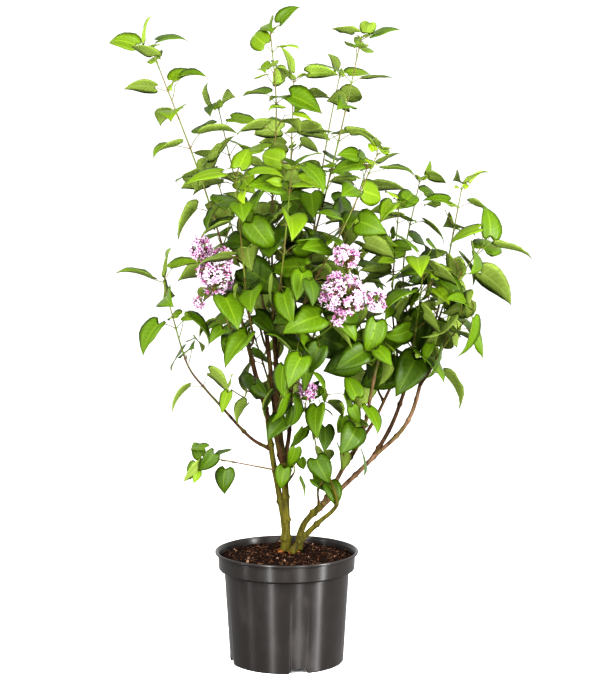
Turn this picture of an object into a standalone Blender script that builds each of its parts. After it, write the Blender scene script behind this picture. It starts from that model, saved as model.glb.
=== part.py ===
# A lilac bush in a round nursery pot. Canes rise from the compost and fork into boughs,
# and each bough carries leafy shoots. Metres, +Z up, +X to the right seen from the front.
# The origin is on the floor, at the centre of the pot's underside.

import math
import random

import bmesh
import bpy
import numpy as np
from mathutils.bvhtree import BVHTree

# Driving dimensions
SEAM = 0.0003
POT_HEIGHT = 0.2036
RIM_RADIUS = 0.130
COLLAR_RADIUS = 0.1242
COLLAR_HEIGHT = 0.032
BODY_TOP_RADIUS = 0.1132
BODY_FOOT_RADIUS = 0.1028
WALL = 0.0018
FLOOR = 0.0125
FOOT_ROUND = 0.003
LIP_HEIGHT = 0.005
POT_SEGMENTS = 40
NOTCH_WIDTH = 0.034
NOTCH_HEIGHT = 0.0095
NOTCH_DEPTH = 0.036
NOTCH_TURN = 12.4
COMPOST_EDGE = 0.192
COMPOST_TOP = 0.202
COMPOST_FLAT = 0.052
COLLAR_FOOT = POT_HEIGHT - COLLAR_HEIGHT
STEP = 0.004
CUT_HEIGHT = COMPOST_TOP + SEAM

# Leaves: half outlines as (along, out) shares of the blade's length, the fuller one for long
# leaves, and the blade's thickness
OUTLINE = ((-0.08, 0.21), (0.18, 0.37), (0.62, 0.27))
YOUNG_OUTLINE = ((0.04, 0.28), (0.46, 0.29))
YOUNG_LENGTH = 0.085
MIDRIB = 0.42
THICKNESS = 0.018
PETIOLE_RADIUS = 0.0009
PETIOLE_SHARE = 0.42
OUTWARD = 0.7
CROWN_MIDDLE = (0.03, 0.02)
TEST_GROWTH = 1.04
TRIES = 9

# How the leaves of a shoot differ: the ranges that its seeded draws pick from. Angles are in
# radians but for the droop, and sizes are shares of the row's own.
TURN_SPREAD = 0.35
FORWARD = (0.45, 0.95)
SIZE_SPREAD = (0.86, 1.1)
SIZE_LOSS = 0.35
STALK_SPREAD = (0.8, 1.2)
DROOP_SPREAD = 18
ROLL_SPREAD = 0.6
FOLDS = (0.12, 0.5)
CURLS = (0.25, 0.9)

# Where a shoot's pairs of leaves sit along its stem, and the half-open leaf at its tip
BARE_SHARE = 0.16
LAST_PAIR = 0.985
LAST_PAIR_UNDER_BLOSSOM = 0.78
CROWDING = 1.25
NEXT_TURN = 0.25
BUD_PLACE = 0.995
BUD_RADIUS = 0.0005
BUD_SIZE = 0.85
BUD_DROOP = -55

# Stems and twigs
STEM_RADII = (0.0023, 0.0009)
STEM_SIDES = 3
STEM_STEP = 0.065
LEAVE_ALONG = 0.8
LEAVE_REACH = 0.035
TWIG_LENGTH = 0.085
TWIG_RISE = 0.2
TWIG_RADII = (0.0013, 0.0008)
TWIG_SIDES = 3
TWIG_STEP = 0.03
TWIG_LEAF = 0.8
TWIG_LEAVES = ((0.7, 0), (0.7, math.pi), (0.98, math.pi / 2))

# Flower heads: the stalk of each lobe starts this far down the stem, and its surface is bumpy
HEAD_STALK_RADIUS = 0.0013
HEAD_STALK_SIDES = 4
HEAD_FOOT = 0.004
HEAD_BUMP = 0.10

# Limbs
LIMB_STEP = 0.034
FLARE_REACH = 0.026
CAP_EDGE = math.radians(80)

# Limbs: the limb each springs from and how far along it, the points it passes, its two radii
# and how far it flares at the ground. A limb that stands in the compost springs from nothing.
LIMBS = {
    "trunk": dict(
        limb=None, at=0, radii=(0.0072, 0.0062), flare=0.0045, sides=10,
        through=((-0.001, 0.002, CUT_HEIGHT), (-0.002, 0.001, 0.305), (-0.010, 0.0, 0.396))),
    "stem_left": dict(
        limb="trunk", at=0.17, radii=(0.0055, 0.0047), flare=0, sides=8,
        through=((-0.0165, -0.001, 0.323), (-0.027, -0.001, 0.385), (-0.034, -0.002, 0.442))),
    "bough_far_left": dict(
        limb="stem_left", at=0.74, radii=(0.0031, 0.0024), flare=0, sides=6,
        through=((-0.066, -0.02, 0.414), (-0.122, -0.04, 0.479))),
    "twig_left": dict(
        limb="trunk", at=0.74, radii=(0.0017, 0.0012), flare=0, sides=5,
        through=((-0.026, -0.024, 0.356), (-0.083, -0.04, 0.370))),
    "bough_left_outer": dict(
        limb="stem_left", at=1, radii=(0.0044, 0.0036), flare=0, sides=8,
        through=((-0.0535, -0.015, 0.520), (-0.075, -0.03, 0.608))),
    "bough_left_inner": dict(
        limb="trunk", at=0.82, radii=(0.0046, 0.0036), flare=0, sides=8,
        through=((-0.017, -0.016, 0.408), (-0.022, -0.018, 0.470), (-0.038, -0.006, 0.619))),
    "bough_centre": dict(
        limb="trunk", at=1, radii=(0.0052, 0.0036), flare=0, sides=8,
        through=((-0.016, 0.020, 0.470), (-0.024, 0.050, 0.634))),
    "bough_right": dict(
        limb="trunk", at=0.80, radii=(0.0040, 0.0032), flare=0, sides=8,
        through=((0.004, 0.008, 0.412), (0.007, 0.010, 0.480), (0.014, 0.024, 0.619))),
    "cane_right": dict(
        limb=None, at=0, radii=(0.0054, 0.0052), flare=0.003, sides=9,
        through=((0.020, 0.014, CUT_HEIGHT), (0.030, 0.013, 0.246), (0.063, 0.010, 0.286))),
    "cane_pink": dict(
        limb="cane_right", at=1, radii=(0.0042, 0.0030), flare=0, sides=7,
        through=((0.099, -0.004, 0.350), (0.135, -0.012, 0.415), (0.157, -0.020, 0.525))),
    "cane_outer": dict(
        limb="cane_right", at=0.68, radii=(0.0047, 0.0032), flare=0, sides=8,
        through=((0.078, 0.025, 0.292), (0.155, 0.032, 0.366), (0.222, 0.045, 0.436),
                 (0.256, 0.060, 0.556))),
    "cane_second": dict(
        limb="cane_outer", at=0.42, radii=(0.0040, 0.0030), flare=0, sides=7,
        through=((0.193, 0.060, 0.427), (0.223, 0.090, 0.503))),
    "cane_dark": dict(
        limb="cane_pink", at=0.42, radii=(0.0032, 0.0026), flare=0, sides=6,
        through=((0.158, 0.010, 0.440), (0.187, 0.030, 0.495))),
    "cane_front": dict(
        limb=None, at=0, radii=(0.0058, 0.0024), flare=0.002, sides=8,
        through=((0.009, -0.016, CUT_HEIGHT), (0.032, -0.017, 0.232), (0.058, -0.020, 0.259),
                 (0.083, -0.022, 0.281), (0.090, -0.024, 0.300), (0.077, -0.024, 0.340))),
}

MOSSY = ("trunk", "stem_left", "cane_right", "cane_front")

# Shoots: each is one mass of foliage on one stem. Leaf lengths and droops, in degrees, run from
# the stem's foot to its tip, and turn is the bearing of the first pair. A flower head has lobes,
# each as x, y and z from the stem's tip, its radius and half its height.
SHOOTS = {
    "leaves_left_tall": dict(
        limb="bough_left_outer", at=1, pairs=9, leaf=(0.088, 0.060), droop=(30, -15),
        twigs=1, turn=0, seed=24,
        through=((-0.113, -0.05, 0.761), (-0.158, -0.06, 0.905), (-0.236, -0.05, 1.108))),
    "leaves_left_inner": dict(
        limb="bough_left_inner", at=1, pairs=7, leaf=(0.088, 0.058), droop=(35, -10),
        twigs=1, turn=60, seed=54,
        through=((-0.070, 0.05, 0.778), (-0.100, 0.06, 0.900), (-0.123, 0.07, 1.000))),
    "leaves_centre_tall": dict(
        limb="bough_centre", at=1, pairs=9, leaf=(0.086, 0.058), droop=(30, -20),
        twigs=1, turn=30, seed=8,
        through=((-0.026, 0.03, 0.819), (-0.018, 0.0, 1.0), (-0.028, -0.02, 1.136))),
    "leaves_centre_back": dict(
        limb="bough_centre", at=0.80, pairs=7, leaf=(0.085, 0.060), droop=(30, -10),
        twigs=0, turn=10, seed=59,
        through=((0.005, 0.12, 0.83), (0.013, 0.12, 1.051))),
    "leaves_right_tall": dict(
        limb="bough_right", at=1, pairs=9, leaf=(0.086, 0.058), droop=(30, -20),
        twigs=1, turn=0, seed=17,
        through=((0.056, 0.0, 0.798), (0.095, -0.01, 0.955), (0.132, -0.02, 1.126))),
    "leaves_right_back": dict(
        limb="bough_right", at=0.70, pairs=7, leaf=(0.085, 0.060), droop=(30, -10),
        twigs=0, turn=40, seed=4,
        through=((0.052, 0.09, 0.800), (0.075, 0.11, 0.95), (0.097, 0.12, 1.06))),
    "leaves_middle_right": dict(
        limb="bough_right", at=0.92, pairs=7, leaf=(0.080, 0.062), droop=(35, -10),
        twigs=1, turn=70, seed=28,
        through=((0.040, -0.05, 0.680), (0.095, -0.09, 0.785), (0.159, -0.10, 0.925))),
    "leaves_far_left": dict(
        limb="bough_far_left", at=1, pairs=5, leaf=(0.056, 0.070), droop=(40, -5),
        twigs=0, turn=20, seed=1,
        through=((-0.175, -0.055, 0.55), (-0.201, -0.063, 0.640), (-0.216, -0.065, 0.700))),
    "leaves_low_left": dict(
        limb="twig_left", at=1, pairs=3, leaf=(0.045, 0.052), droop=(55, 40),
        twigs=0, turn=30, seed=25,
        through=((-0.110, -0.046, 0.375), (-0.138, -0.052, 0.384))),
    "leaves_pink_cane": dict(
        limb="cane_pink", at=1, pairs=5, leaf=(0.064, 0.062), droop=(60, 30),
        twigs=0, turn=10, seed=13,
        through=((0.140, -0.05, 0.590), (0.118, -0.07, 0.660))),
    "leaves_dark_cane": dict(
        limb="cane_dark", at=1, pairs=7, leaf=(0.080, 0.050), droop=(40, -10),
        twigs=1, turn=50, seed=18,
        through=((0.190, 0.03, 0.655), (0.200, 0.0, 0.830))),
    "leaves_second_cane": dict(
        limb="cane_second", at=1, pairs=7, leaf=(0.082, 0.052), droop=(40, -10),
        twigs=1, turn=0, seed=21,
        through=((0.212, 0.09, 0.70), (0.241, 0.08, 0.870))),
    "leaves_right_middle": dict(
        limb="cane_second", at=0.86, pairs=7, leaf=(0.084, 0.074), droop=(38, 8),
        twigs=0, turn=35, seed=50,
        through=((0.226, 0.030, 0.56), (0.236, -0.035, 0.660), (0.242, -0.060, 0.735))),
    "leaves_right_top": dict(
        limb="cane_outer", at=1, pairs=6, leaf=(0.080, 0.052), droop=(35, -15),
        twigs=0, turn=15, seed=52,
        through=((0.285, 0.08, 0.678), (0.317, 0.08, 0.855))),
    "leaves_far_right": dict(
        limb="cane_outer", at=0.94, pairs=6, leaf=(0.082, 0.078), droop=(35, 18),
        twigs=1, turn=80, seed=52,
        through=((0.286, 0.010, 0.660), (0.350, -0.02, 0.762))),
    "leaves_right_low": dict(
        limb="cane_outer", at=0.84, pairs=4, leaf=(0.078, 0.078), droop=(55, 45),
        twigs=0, turn=10, seed=34,
        through=((0.280, -0.010, 0.575), (0.325, -0.06, 0.640))),
    "leaves_back_left": dict(
        limb="bough_left_inner", at=0.80, pairs=6, leaf=(0.085, 0.058), droop=(40, 0),
        twigs=1, turn=25, seed=9,
        through=((-0.070, 0.09, 0.68), (-0.140, 0.17, 0.90))),
    "leaves_back_centre": dict(
        limb="bough_centre", at=0.62, pairs=6, leaf=(0.085, 0.058), droop=(40, 0),
        twigs=1, turn=55, seed=1,
        through=((-0.01, 0.16, 0.70), (0.010, 0.225, 0.92))),
    "leaves_back_right": dict(
        limb="bough_right", at=0.55, pairs=6, leaf=(0.085, 0.058), droop=(40, 0),
        twigs=1, turn=5, seed=6,
        through=((0.08, 0.12, 0.68), (0.150, 0.20, 0.89))),
    "leaves_back_low": dict(
        limb="cane_dark", at=0.80, pairs=5, leaf=(0.080, 0.060), droop=(55, 25),
        twigs=0, turn=45, seed=1,
        through=((0.160, 0.11, 0.56), (0.130, 0.19, 0.70))),
    "leaves_front_left": dict(
        limb="bough_left_outer", at=0.80, pairs=6, leaf=(0.074, 0.066), droop=(45, 5),
        twigs=0, turn=65, seed=52,
        through=((-0.070, -0.09, 0.68), (-0.085, -0.16, 0.88))),
    "leaves_front_centre": dict(
        limb="bough_left_inner", at=0.90, pairs=6, leaf=(0.074, 0.066), droop=(45, 5),
        twigs=1, turn=15, seed=60,
        through=((-0.010, -0.10, 0.70), (0.010, -0.15, 0.90))),
    "leaves_low_front": dict(
        limb="bough_left_inner", at=0.40, pairs=4, leaf=(0.060, 0.064), droop=(70, 50),
        twigs=0, turn=20, seed=43,
        through=((0.005, -0.07, 0.500), (0.020, -0.12, 0.580))),
    "leaves_low_centre": dict(
        limb="cane_right", at=0.93, pairs=5, leaf=(0.046, 0.060), droop=(72, 55),
        twigs=0, turn=0, seed=55,
        through=((0.066, -0.024, 0.345), (0.050, -0.035, 0.425), (0.074, -0.050, 0.497))),
    "leaves_low_right": dict(
        limb="cane_pink", at=0.35, pairs=3, leaf=(0.062, 0.060), droop=(65, 50),
        twigs=0, turn=0, seed=27,
        through=((0.118, -0.040, 0.420), (0.128, -0.060, 0.470))),
    "leaves_low_trunk": dict(
        limb="trunk", at=0.62, pairs=2, leaf=(0.040, 0.046), droop=(75, 70),
        twigs=0, turn=0, seed=14,
        through=((0.012, -0.030, 0.372), (0.014, -0.036, 0.392))),
    "leaves_left_low": dict(
        limb="bough_left_outer", at=0.25, pairs=2, leaf=(0.044, 0.044), droop=(50, 30),
        twigs=0, turn=0, seed=20,
        through=((-0.075, -0.045, 0.490), (-0.098, -0.055, 0.505))),
    "leaves_low_back": dict(
        limb="bough_centre", at=0.35, pairs=5, leaf=(0.070, 0.070), droop=(60, 30),
        twigs=0, turn=30, seed=3,
        through=((-0.04, 0.09, 0.520), (-0.08, 0.15, 0.640))),
    "blossom_left": dict(
        limb="bough_left_outer", at=0.93, pairs=2, leaf=(0.075, 0.070), droop=(50, 35),
        twigs=0, turn=20, seed=36,
        through=((-0.110, -0.07, 0.645), (-0.126, -0.09, 0.682)),
        lobes=((0.003, 0, 0.031, 0.032, 0.034), (-0.023, 0, 0.076, 0.020, 0.022),
                 (0.016, -0.002, 0.060, 0.017, 0.019), (-0.026, 0, -0.019, 0.010, 0.013))),
    "blossom_right": dict(
        limb="bough_right", at=0.85, pairs=3, leaf=(0.080, 0.080), droop=(50, 40),
        twigs=0, turn=40, seed=37,
        through=((0.050, -0.08, 0.600), (0.104, -0.135, 0.650)),
        lobes=((-0.006, 0, 0.032, 0.042, 0.037), (0.001, 0, 0.099, 0.024, 0.018),
                 (0.051, 0, 0.022, 0.016, 0.022), (-0.013, 0, -0.010, 0.010, 0.012))),
    "blossom_small": dict(
        limb="bough_right", at=0.30, pairs=2, leaf=(0.060, 0.060), droop=(60, 50),
        twigs=0, turn=60, seed=41,
        through=((0.030, -0.05, 0.465), (0.036, -0.085, 0.495)),
        lobes=((0.002, 0, 0.014, 0.016, 0.017), (-0.007, 0, 0.031, 0.010, 0.010))),
}


def material(name, colour, roughness):
    made = bpy.data.materials.new(name)
    made.use_nodes = True
    shader = made.node_tree.nodes["Principled BSDF"]
    shader.inputs["Base Color"].default_value = (*colour, 1)
    shader.inputs["Roughness"].default_value = roughness
    shader.inputs["Metallic"].default_value = 0
    return made


def add_object(name, points, faces, finish):
    mesh = bpy.data.meshes.new(name)
    mesh.from_pydata([tuple(map(float, p)) for p in points], [], faces)
    mesh.materials.append(finish)
    made = bpy.data.objects.new(name, mesh)
    bpy.context.scene.collection.objects.link(made)
    return made


def unit(vector):
    vector = np.asarray(vector, float)
    return vector / np.linalg.norm(vector)


# A smooth curve through the given points (Catmull-Rom), read at even steps of its length.
def smooth_path(points, step):
    points = np.asarray(points, float)
    ends = (2 * points[0] - points[1], 2 * points[-1] - points[-2])
    knots = np.vstack([ends[0], points, ends[1]])
    t = np.linspace(0, 1, 24, endpoint=False)[:, None]
    runs = []
    for i in range(len(points) - 1):
        a, b, c, d = knots[i:i + 4]
        runs.append(0.5 * (2 * b + (c - a) * t + (2 * a - 5 * b + 4 * c - d) * t**2
                           + (3 * b - a - 3 * c + d) * t**3))
    fine = np.vstack(runs + [points[-1:]])
    length = np.concatenate([[0], np.cumsum(np.linalg.norm(np.diff(fine, axis=0), axis=1))])
    count = max(3, round(length[-1] / step) + 1)
    even = np.linspace(0, length[-1], count)
    return np.stack([np.interp(even, length, fine[:, k]) for k in range(3)], axis=1)


def tangents(path):
    return np.array([unit(v) for v in np.gradient(path, axis=0)])


# Rings round a path, joined to a closed tube with a flat cap at each end.
def tube(path, radii, sides, first=None):
    along = tangents(path)
    if first is not None:
        along[0] = first
    across = unit(np.cross(along[0], (0.31, 0.95, 0.05)))
    rings = []
    for point, radius, way in zip(path, radii, along):
        across = unit(across - way * np.dot(across, way))
        other = np.cross(way, across)
        angle = np.arange(sides)[:, None] * 2 * math.pi / sides
        rings.append(point + radius * (np.cos(angle) * across + np.sin(angle) * other))
    points = np.vstack(rings)
    faces = [tuple(range(sides))[::-1]]
    for ring in range(len(path) - 1):
        for k in range(sides):
            a, b = ring * sides + k, ring * sides + (k + 1) % sides
            faces.append((a, b, b + sides, a + sides))
    faces.append(tuple(range(len(points) - sides, len(points))))
    return points, faces


def tree_of(points, faces):
    return BVHTree.FromPolygons([tuple(map(float, p)) for p in points], faces)


# What is placed so far: its owner, its box, and its search tree.
placed = []


def remember(owner, points, faces):
    points = np.asarray(points)
    placed.append((owner, points.min(axis=0), points.max(axis=0), tree_of(points, faces)))


def must_be_clear(what, points, faces, skip=()):
    other = hits(points, faces, skip)
    if other:
        raise ValueError(what + " meets " + other)


def hits(points, faces, skip=()):
    low = points.min(axis=0) - SEAM
    high = points.max(axis=0) + SEAM
    tree = None
    for owner, other_low, other_high, other in placed:
        if owner in skip or (other_low > high).any() or (other_high < low).any():
            continue
        tree = tree or tree_of(points, faces)
        if tree.overlap(other):
            return owner
    return None


# Pot and compost are turned from one wall profile
def wall_profile():
    inner_foot = BODY_FOOT_RADIUS - WALL
    outside = [
        (BODY_FOOT_RADIUS - FOOT_ROUND, 0), (BODY_FOOT_RADIUS, FOOT_ROUND),
        (BODY_TOP_RADIUS, COLLAR_FOOT - STEP), (COLLAR_RADIUS - 0.001, COLLAR_FOOT),
        (COLLAR_RADIUS, POT_HEIGHT - LIP_HEIGHT), (RIM_RADIUS, POT_HEIGHT - LIP_HEIGHT + 0.0005),
        (RIM_RADIUS, POT_HEIGHT - 0.001), (RIM_RADIUS - 0.001, POT_HEIGHT)]
    inside = [
        (COLLAR_RADIUS + 0.002, POT_HEIGHT), (COLLAR_RADIUS - WALL, POT_HEIGHT - LIP_HEIGHT),
        (COLLAR_RADIUS - 0.001 - WALL, COLLAR_FOOT + 0.001),
        (BODY_TOP_RADIUS - WALL, COLLAR_FOOT - STEP), (inner_foot, FLOOR)]
    return outside, inside


def turned(name, profile, finish):
    points = [(0, 0, profile[0][1])]
    rows = profile[1:-1]
    for radius, height in rows:
        for k in range(POT_SEGMENTS):
            angle = 2 * math.pi * k / POT_SEGMENTS
            points.append((radius * math.cos(angle), radius * math.sin(angle), height))
    points.append((0, 0, profile[-1][1]))
    faces = []
    top = len(points) - 1
    last = top - POT_SEGMENTS
    for k in range(POT_SEGMENTS):
        after = (k + 1) % POT_SEGMENTS
        faces.append((0, 1 + after, 1 + k))
        for row in range(len(rows) - 1):
            a, b = 1 + row * POT_SEGMENTS + k, 1 + row * POT_SEGMENTS + after
            faces.append((a, b, b + POT_SEGMENTS, a + POT_SEGMENTS))
        faces.append((last + k, last + after, top))
    made = add_object(name, points, faces, finish)
    made.data.shade_smooth()
    made.data.set_sharp_from_angle(angle=math.radians(35))
    return made


def cut_notches(pot):
    mesh = bpy.data.meshes.new("notches")
    shape = bmesh.new()
    reach = BODY_FOOT_RADIUS + 0.004
    inner = reach - NOTCH_DEPTH
    low = -0.002
    for k in range(4):
        angle = math.radians(NOTCH_TURN - 90 + 90 * k)
        out = np.array((math.cos(angle), math.sin(angle), 0))
        side = np.array((-math.sin(angle), math.cos(angle), 0))
        loops = []
        for distance in (inner, reach):
            loops.append([
                shape.verts.new(distance * out + half * side + (0, 0, height))
                for half, height in (
                    (-NOTCH_WIDTH / 2 - 0.001, low), (NOTCH_WIDTH / 2 + 0.001, low),
                    (NOTCH_WIDTH / 2 - 0.005, NOTCH_HEIGHT),
                    (-NOTCH_WIDTH / 2 + 0.005, NOTCH_HEIGHT))])
        shape.faces.new(loops[0][::-1])
        shape.faces.new(loops[1])
        for i in range(4):
            j = (i + 1) % 4
            shape.faces.new((loops[0][i], loops[0][j], loops[1][j], loops[1][i]))
    bmesh.ops.recalc_face_normals(shape, faces=shape.faces)
    shape.to_mesh(mesh)
    shape.free()
    cutter = bpy.data.objects.new("notch_cutter", mesh)
    bpy.context.scene.collection.objects.link(cutter)
    cutter.hide_render = True
    cutter.display_type = "WIRE"
    cut = pot.modifiers.new("notches", "BOOLEAN")
    cut.operation = "DIFFERENCE"
    cut.object = cutter


def make_pot(finish):
    outside, inside = wall_profile()
    pot = turned("pot", [(0, 0)] + outside + inside + [(0, FLOOR)], finish)
    cut_notches(pot)
    return pot


def make_compost(finish):
    inner_foot = BODY_FOOT_RADIUS - WALL - SEAM
    below = [(inner_foot, FLOOR + SEAM), (BODY_TOP_RADIUS - WALL - SEAM, COLLAR_FOOT - STEP),
             (COLLAR_RADIUS - 0.001 - WALL - SEAM, COLLAR_FOOT + 0.0013)]
    edge = COLLAR_RADIUS - 0.001 - WALL - SEAM
    above = [(edge, COMPOST_EDGE), (0.5 * (edge + COMPOST_FLAT), COMPOST_EDGE + 0.006),
             (COMPOST_FLAT, COMPOST_TOP)]
    profile = [(0, FLOOR + SEAM)] + below + above + [(0, COMPOST_TOP)]
    return turned("compost", profile, finish)


# Limbs
limb_paths = {}
limb_radii = {}


def point_on(limb, share):
    path = limb_paths[limb]
    place = share * (len(path) - 1)
    before = min(int(place), len(path) - 2)
    rest = place - before
    point = path[before] * (1 - rest) + path[before + 1] * rest
    radius = np.interp(place, np.arange(len(path)), limb_radii[limb])
    return point, tangents(path)[round(place)], radius


# How far a point lies outside the limb's round surface.
def clearance(point, limb):
    path = limb_paths[limb]
    run = np.diff(path, axis=0)
    share = np.sum((point - path[:-1]) * run, axis=1) / np.sum(run * run, axis=1)
    share = np.clip(share, 0, 1)
    near = path[:-1] + run * share[:, None]
    thick = limb_radii[limb][:-1] + np.diff(limb_radii[limb]) * share
    return float(np.min(np.linalg.norm(point - near, axis=1) - thick))


def make_limb(name, limb, at, through, radii, flare, sides, finish):
    first = None
    if limb is None:
        points = through
        first = np.array((0.0, 0.0, 1.0))
    elif at == 1:
        start, first, _ = point_on(limb, 1)
        points = (start + SEAM * first, start + 0.012 * first) + tuple(through)
    else:
        start, _, _ = point_on(limb, at)
        points = (start,) + tuple(through)
    path = smooth_path(points, LIMB_STEP)
    share = np.linspace(0, 1, len(path))
    length = np.linalg.norm(np.diff(path, axis=0), axis=1).sum()
    thick = radii[0] + (radii[1] - radii[0]) * share + flare * np.exp(-share * length / FLARE_REACH)
    limb_paths[name] = path
    limb_radii[name] = thick
    made = add_object(name, *tube(path, thick, sides, first), finish)
    if limb is not None and at < 1:
        fit_to_parent(made, limb)
    made.data.shade_smooth()
    made.data.set_sharp_from_angle(angle=CAP_EDGE)
    return made


# The side limb is cut back to the surface of the limb that carries it, less the seam.
def fit_to_parent(made, limb):
    parent = bpy.data.objects[limb]
    sides = LIMBS[limb]["sides"]
    path = limb_paths[limb].copy()
    path[-1] = path[-1] + SEAM * tangents(path)[-1]
    grown = limb_radii[limb] + SEAM / math.cos(math.pi / sides)
    first = unit(path[1] - path[0]) if LIMBS[limb]["limb"] else np.array((0.0, 0.0, 1.0))
    cutter = add_object("cutter", *tube(path, grown, sides, first), parent.data.materials[0])
    cut = made.modifiers.new("seat", "BOOLEAN")
    cut.operation = "DIFFERENCE"
    cut.object = cutter
    apply_modifiers(made)
    bpy.data.objects.remove(cutter)
    keep_largest(made)


def apply_modifiers(made):
    graph = bpy.context.evaluated_depsgraph_get()
    fresh = bpy.data.meshes.new_from_object(made.evaluated_get(graph))
    made.modifiers.clear()
    made.data = fresh


# Loose scraps that a Boolean leaves are dropped.
def keep_largest(made):
    shape = bmesh.new()
    shape.from_mesh(made.data)
    shape.verts.ensure_lookup_table()
    left = set(shape.verts)
    groups = []
    while left:
        group = {left.pop()}
        edge = list(group)
        while edge:
            vert = edge.pop()
            for link in vert.link_edges:
                other = link.other_vert(vert)
                if other in left:
                    left.discard(other)
                    group.add(other)
                    edge.append(other)
        groups.append(group)
    groups.sort(key=len)
    for group in groups[:-1]:
        bmesh.ops.delete(shape, geom=list(group), context="VERTS")
    bmesh.ops.dissolve_limit(shape, angle_limit=math.radians(0.6), verts=shape.verts,
                             edges=shape.edges)
    bmesh.ops.triangulate(shape, faces=shape.faces)
    shape.to_mesh(made.data)
    shape.free()


# Leaves
# The blade is folded along its midrib and bends down towards its tip, and its stalk runs back
# to the twig. The first three points are the stalk's root, the next two the blade's base.
def leaf_solid(root, joint, axis, normal, length, fold, curl):
    side = unit(np.cross(axis, normal))
    stalk = unit(joint - root)
    stalk_side = unit(np.cross(stalk, normal))
    stalk_up = np.cross(stalk_side, stalk)
    ring = [-stalk_side + 0.5 * stalk_up, stalk_side + 0.5 * stalk_up, -stalk_up]
    points = [root + PETIOLE_RADIUS * v for v in ring]
    points += [joint + PETIOLE_RADIUS * v for v in ring[:2]]

    def on_blade(u, w, lift):
        bend = curl * u
        up = normal * math.cos(bend) + axis * math.sin(bend)
        spot = joint + length * (axis * math.sin(bend) - normal * (1 - math.cos(bend))) / curl
        return spot + length * (w * math.cos(fold) * side + (abs(w) * math.sin(fold) + lift) * up)

    outline = YOUNG_OUTLINE if length < YOUNG_LENGTH else OUTLINE
    for sign in (-1, 1):
        for u, w in outline:
            points.append(on_blade(u, sign * w, 0))
    points.append(on_blade(1, 0, 0))
    points.append(on_blade(MIDRIB, 0, THICKNESS / 2))
    points.append(on_blade(MIDRIB, 0, -THICKNESS / 2))
    n = len(outline)
    left = [3] + list(range(5, 5 + n)) + [5 + 2 * n]
    right = [4] + list(range(5 + n, 5 + 2 * n)) + [5 + 2 * n]
    top, bottom = 6 + 2 * n, 7 + 2 * n
    faces = [(0, 2, 1), (0, 4, 3), (0, 1, 4), (1, 2, 4), (2, 0, 3)]
    faces += [(2, bottom, 4), (3, bottom, 2), (3, 4, top)]
    for a, b in zip(left, left[1:]):
        faces += [(a, top, b), (a, b, bottom)]
    for a, b in zip(right, right[1:]):
        faces += [(b, top, a), (b, a, bottom)]
    return np.array(points), faces


def grown_blade(points):
    blade = points[3:]
    middle = blade.mean(axis=0)
    return middle + (blade - middle) * TEST_GROWTH


def bearing_of(way, turn):
    level = unit(np.cross(way, (0.0, 1.0, 0.02)))
    other = np.cross(way, level)
    return math.cos(turn) * level + math.sin(turn) * other


def outward_from_middle(spot):
    return unit((spot[0] - CROWN_MIDDLE[0], spot[1] - CROWN_MIDDLE[1], 0.001))


# One leaf of a pair. It is turned, tilted and shortened until it is clear, or left out.
def grow_leaf(draw, owner, spot, way, radius, turn, length, droop):
    for attempt in range(TRIES):
        ease = attempt / TRIES
        spread = draw.uniform(-TURN_SPREAD, TURN_SPREAD)
        side = bearing_of(way, turn + spread * (1 + 2 * ease))
        out = unit(side + way * draw.uniform(*FORWARD))
        size = length * draw.uniform(*SIZE_SPREAD) * (1 - SIZE_LOSS * ease)
        joint = spot + out * (radius + size * PETIOLE_SHARE * draw.uniform(*STALK_SPREAD))
        level = unit(np.array((out[0], out[1], 0.001)))
        spread = draw.uniform(-DROOP_SPREAD, DROOP_SPREAD)
        tilt = math.radians(droop + spread * (1 + ease))
        axis = level * math.cos(tilt) - np.array((0, 0, math.sin(tilt)))
        light = np.array((0, 0, 1.0)) + OUTWARD * outward_from_middle(spot)
        up = unit(light - axis * np.dot(light, axis))
        roll = draw.uniform(-ROLL_SPREAD, ROLL_SPREAD)
        normal = up * math.cos(roll) + np.cross(axis, up) * math.sin(roll)
        fold = draw.uniform(*FOLDS)
        curl = draw.uniform(*CURLS)
        root = spot + out * PETIOLE_RADIUS
        points, faces = leaf_solid(root, joint, axis, normal, size, fold, curl)
        blade_faces = [tuple(i - 3 for i in face) for face in faces if min(face) >= 3]
        if hits(grown_blade(points), blade_faces):
            continue
        if hits(points, faces, skip=(owner,)):
            continue
        remember(owner, points, faces)
        return points, faces
    return None


def stem_start(limb, at, aim):
    start, way, radius = point_on(limb, at)
    if at == 1:
        return start + way * SEAM, way
    aim = aim - start
    out = unit(unit(aim - way * np.dot(aim, way)) + LEAVE_ALONG * way)
    sides = np.linspace(0, 2 * math.pi, 8, endpoint=False)
    across = unit(np.cross(out, way + 0.01))
    other = np.cross(out, across)
    ring = STEM_RADII[0] * (np.cos(sides)[:, None] * across + np.sin(sides)[:, None] * other)
    reach = radius
    while min(clearance(start + out * reach + r, limb) for r in ring) < SEAM:
        reach += SEAM / 3
    tree = next(tree for owner, _, _, tree in placed if owner == limb)
    while min(tree.find_nearest(tuple(start + out * reach + r))[3] for r in ring) > SEAM:
        reach -= SEAM / 6
    return start + out * reach, out


def stem_path(row):
    start, out = stem_start(row["limb"], row["at"], np.array(row["through"][0]))
    points = (start, start + LEAVE_REACH * out) + tuple(row["through"])
    return smooth_path(points, STEM_STEP), out


def pair_places(count, last):
    share = np.arange(count) / max(count - 1, 1)
    return BARE_SHARE + (last - BARE_SHARE) * (1 - (1 - share) ** CROWDING)


def read_path(path, share):
    place = share * (len(path) - 1)
    before = min(int(place), len(path) - 2)
    spot = path[before] + (path[before + 1] - path[before]) * (place - before)
    return spot, unit(path[before + 1] - path[before])


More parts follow.
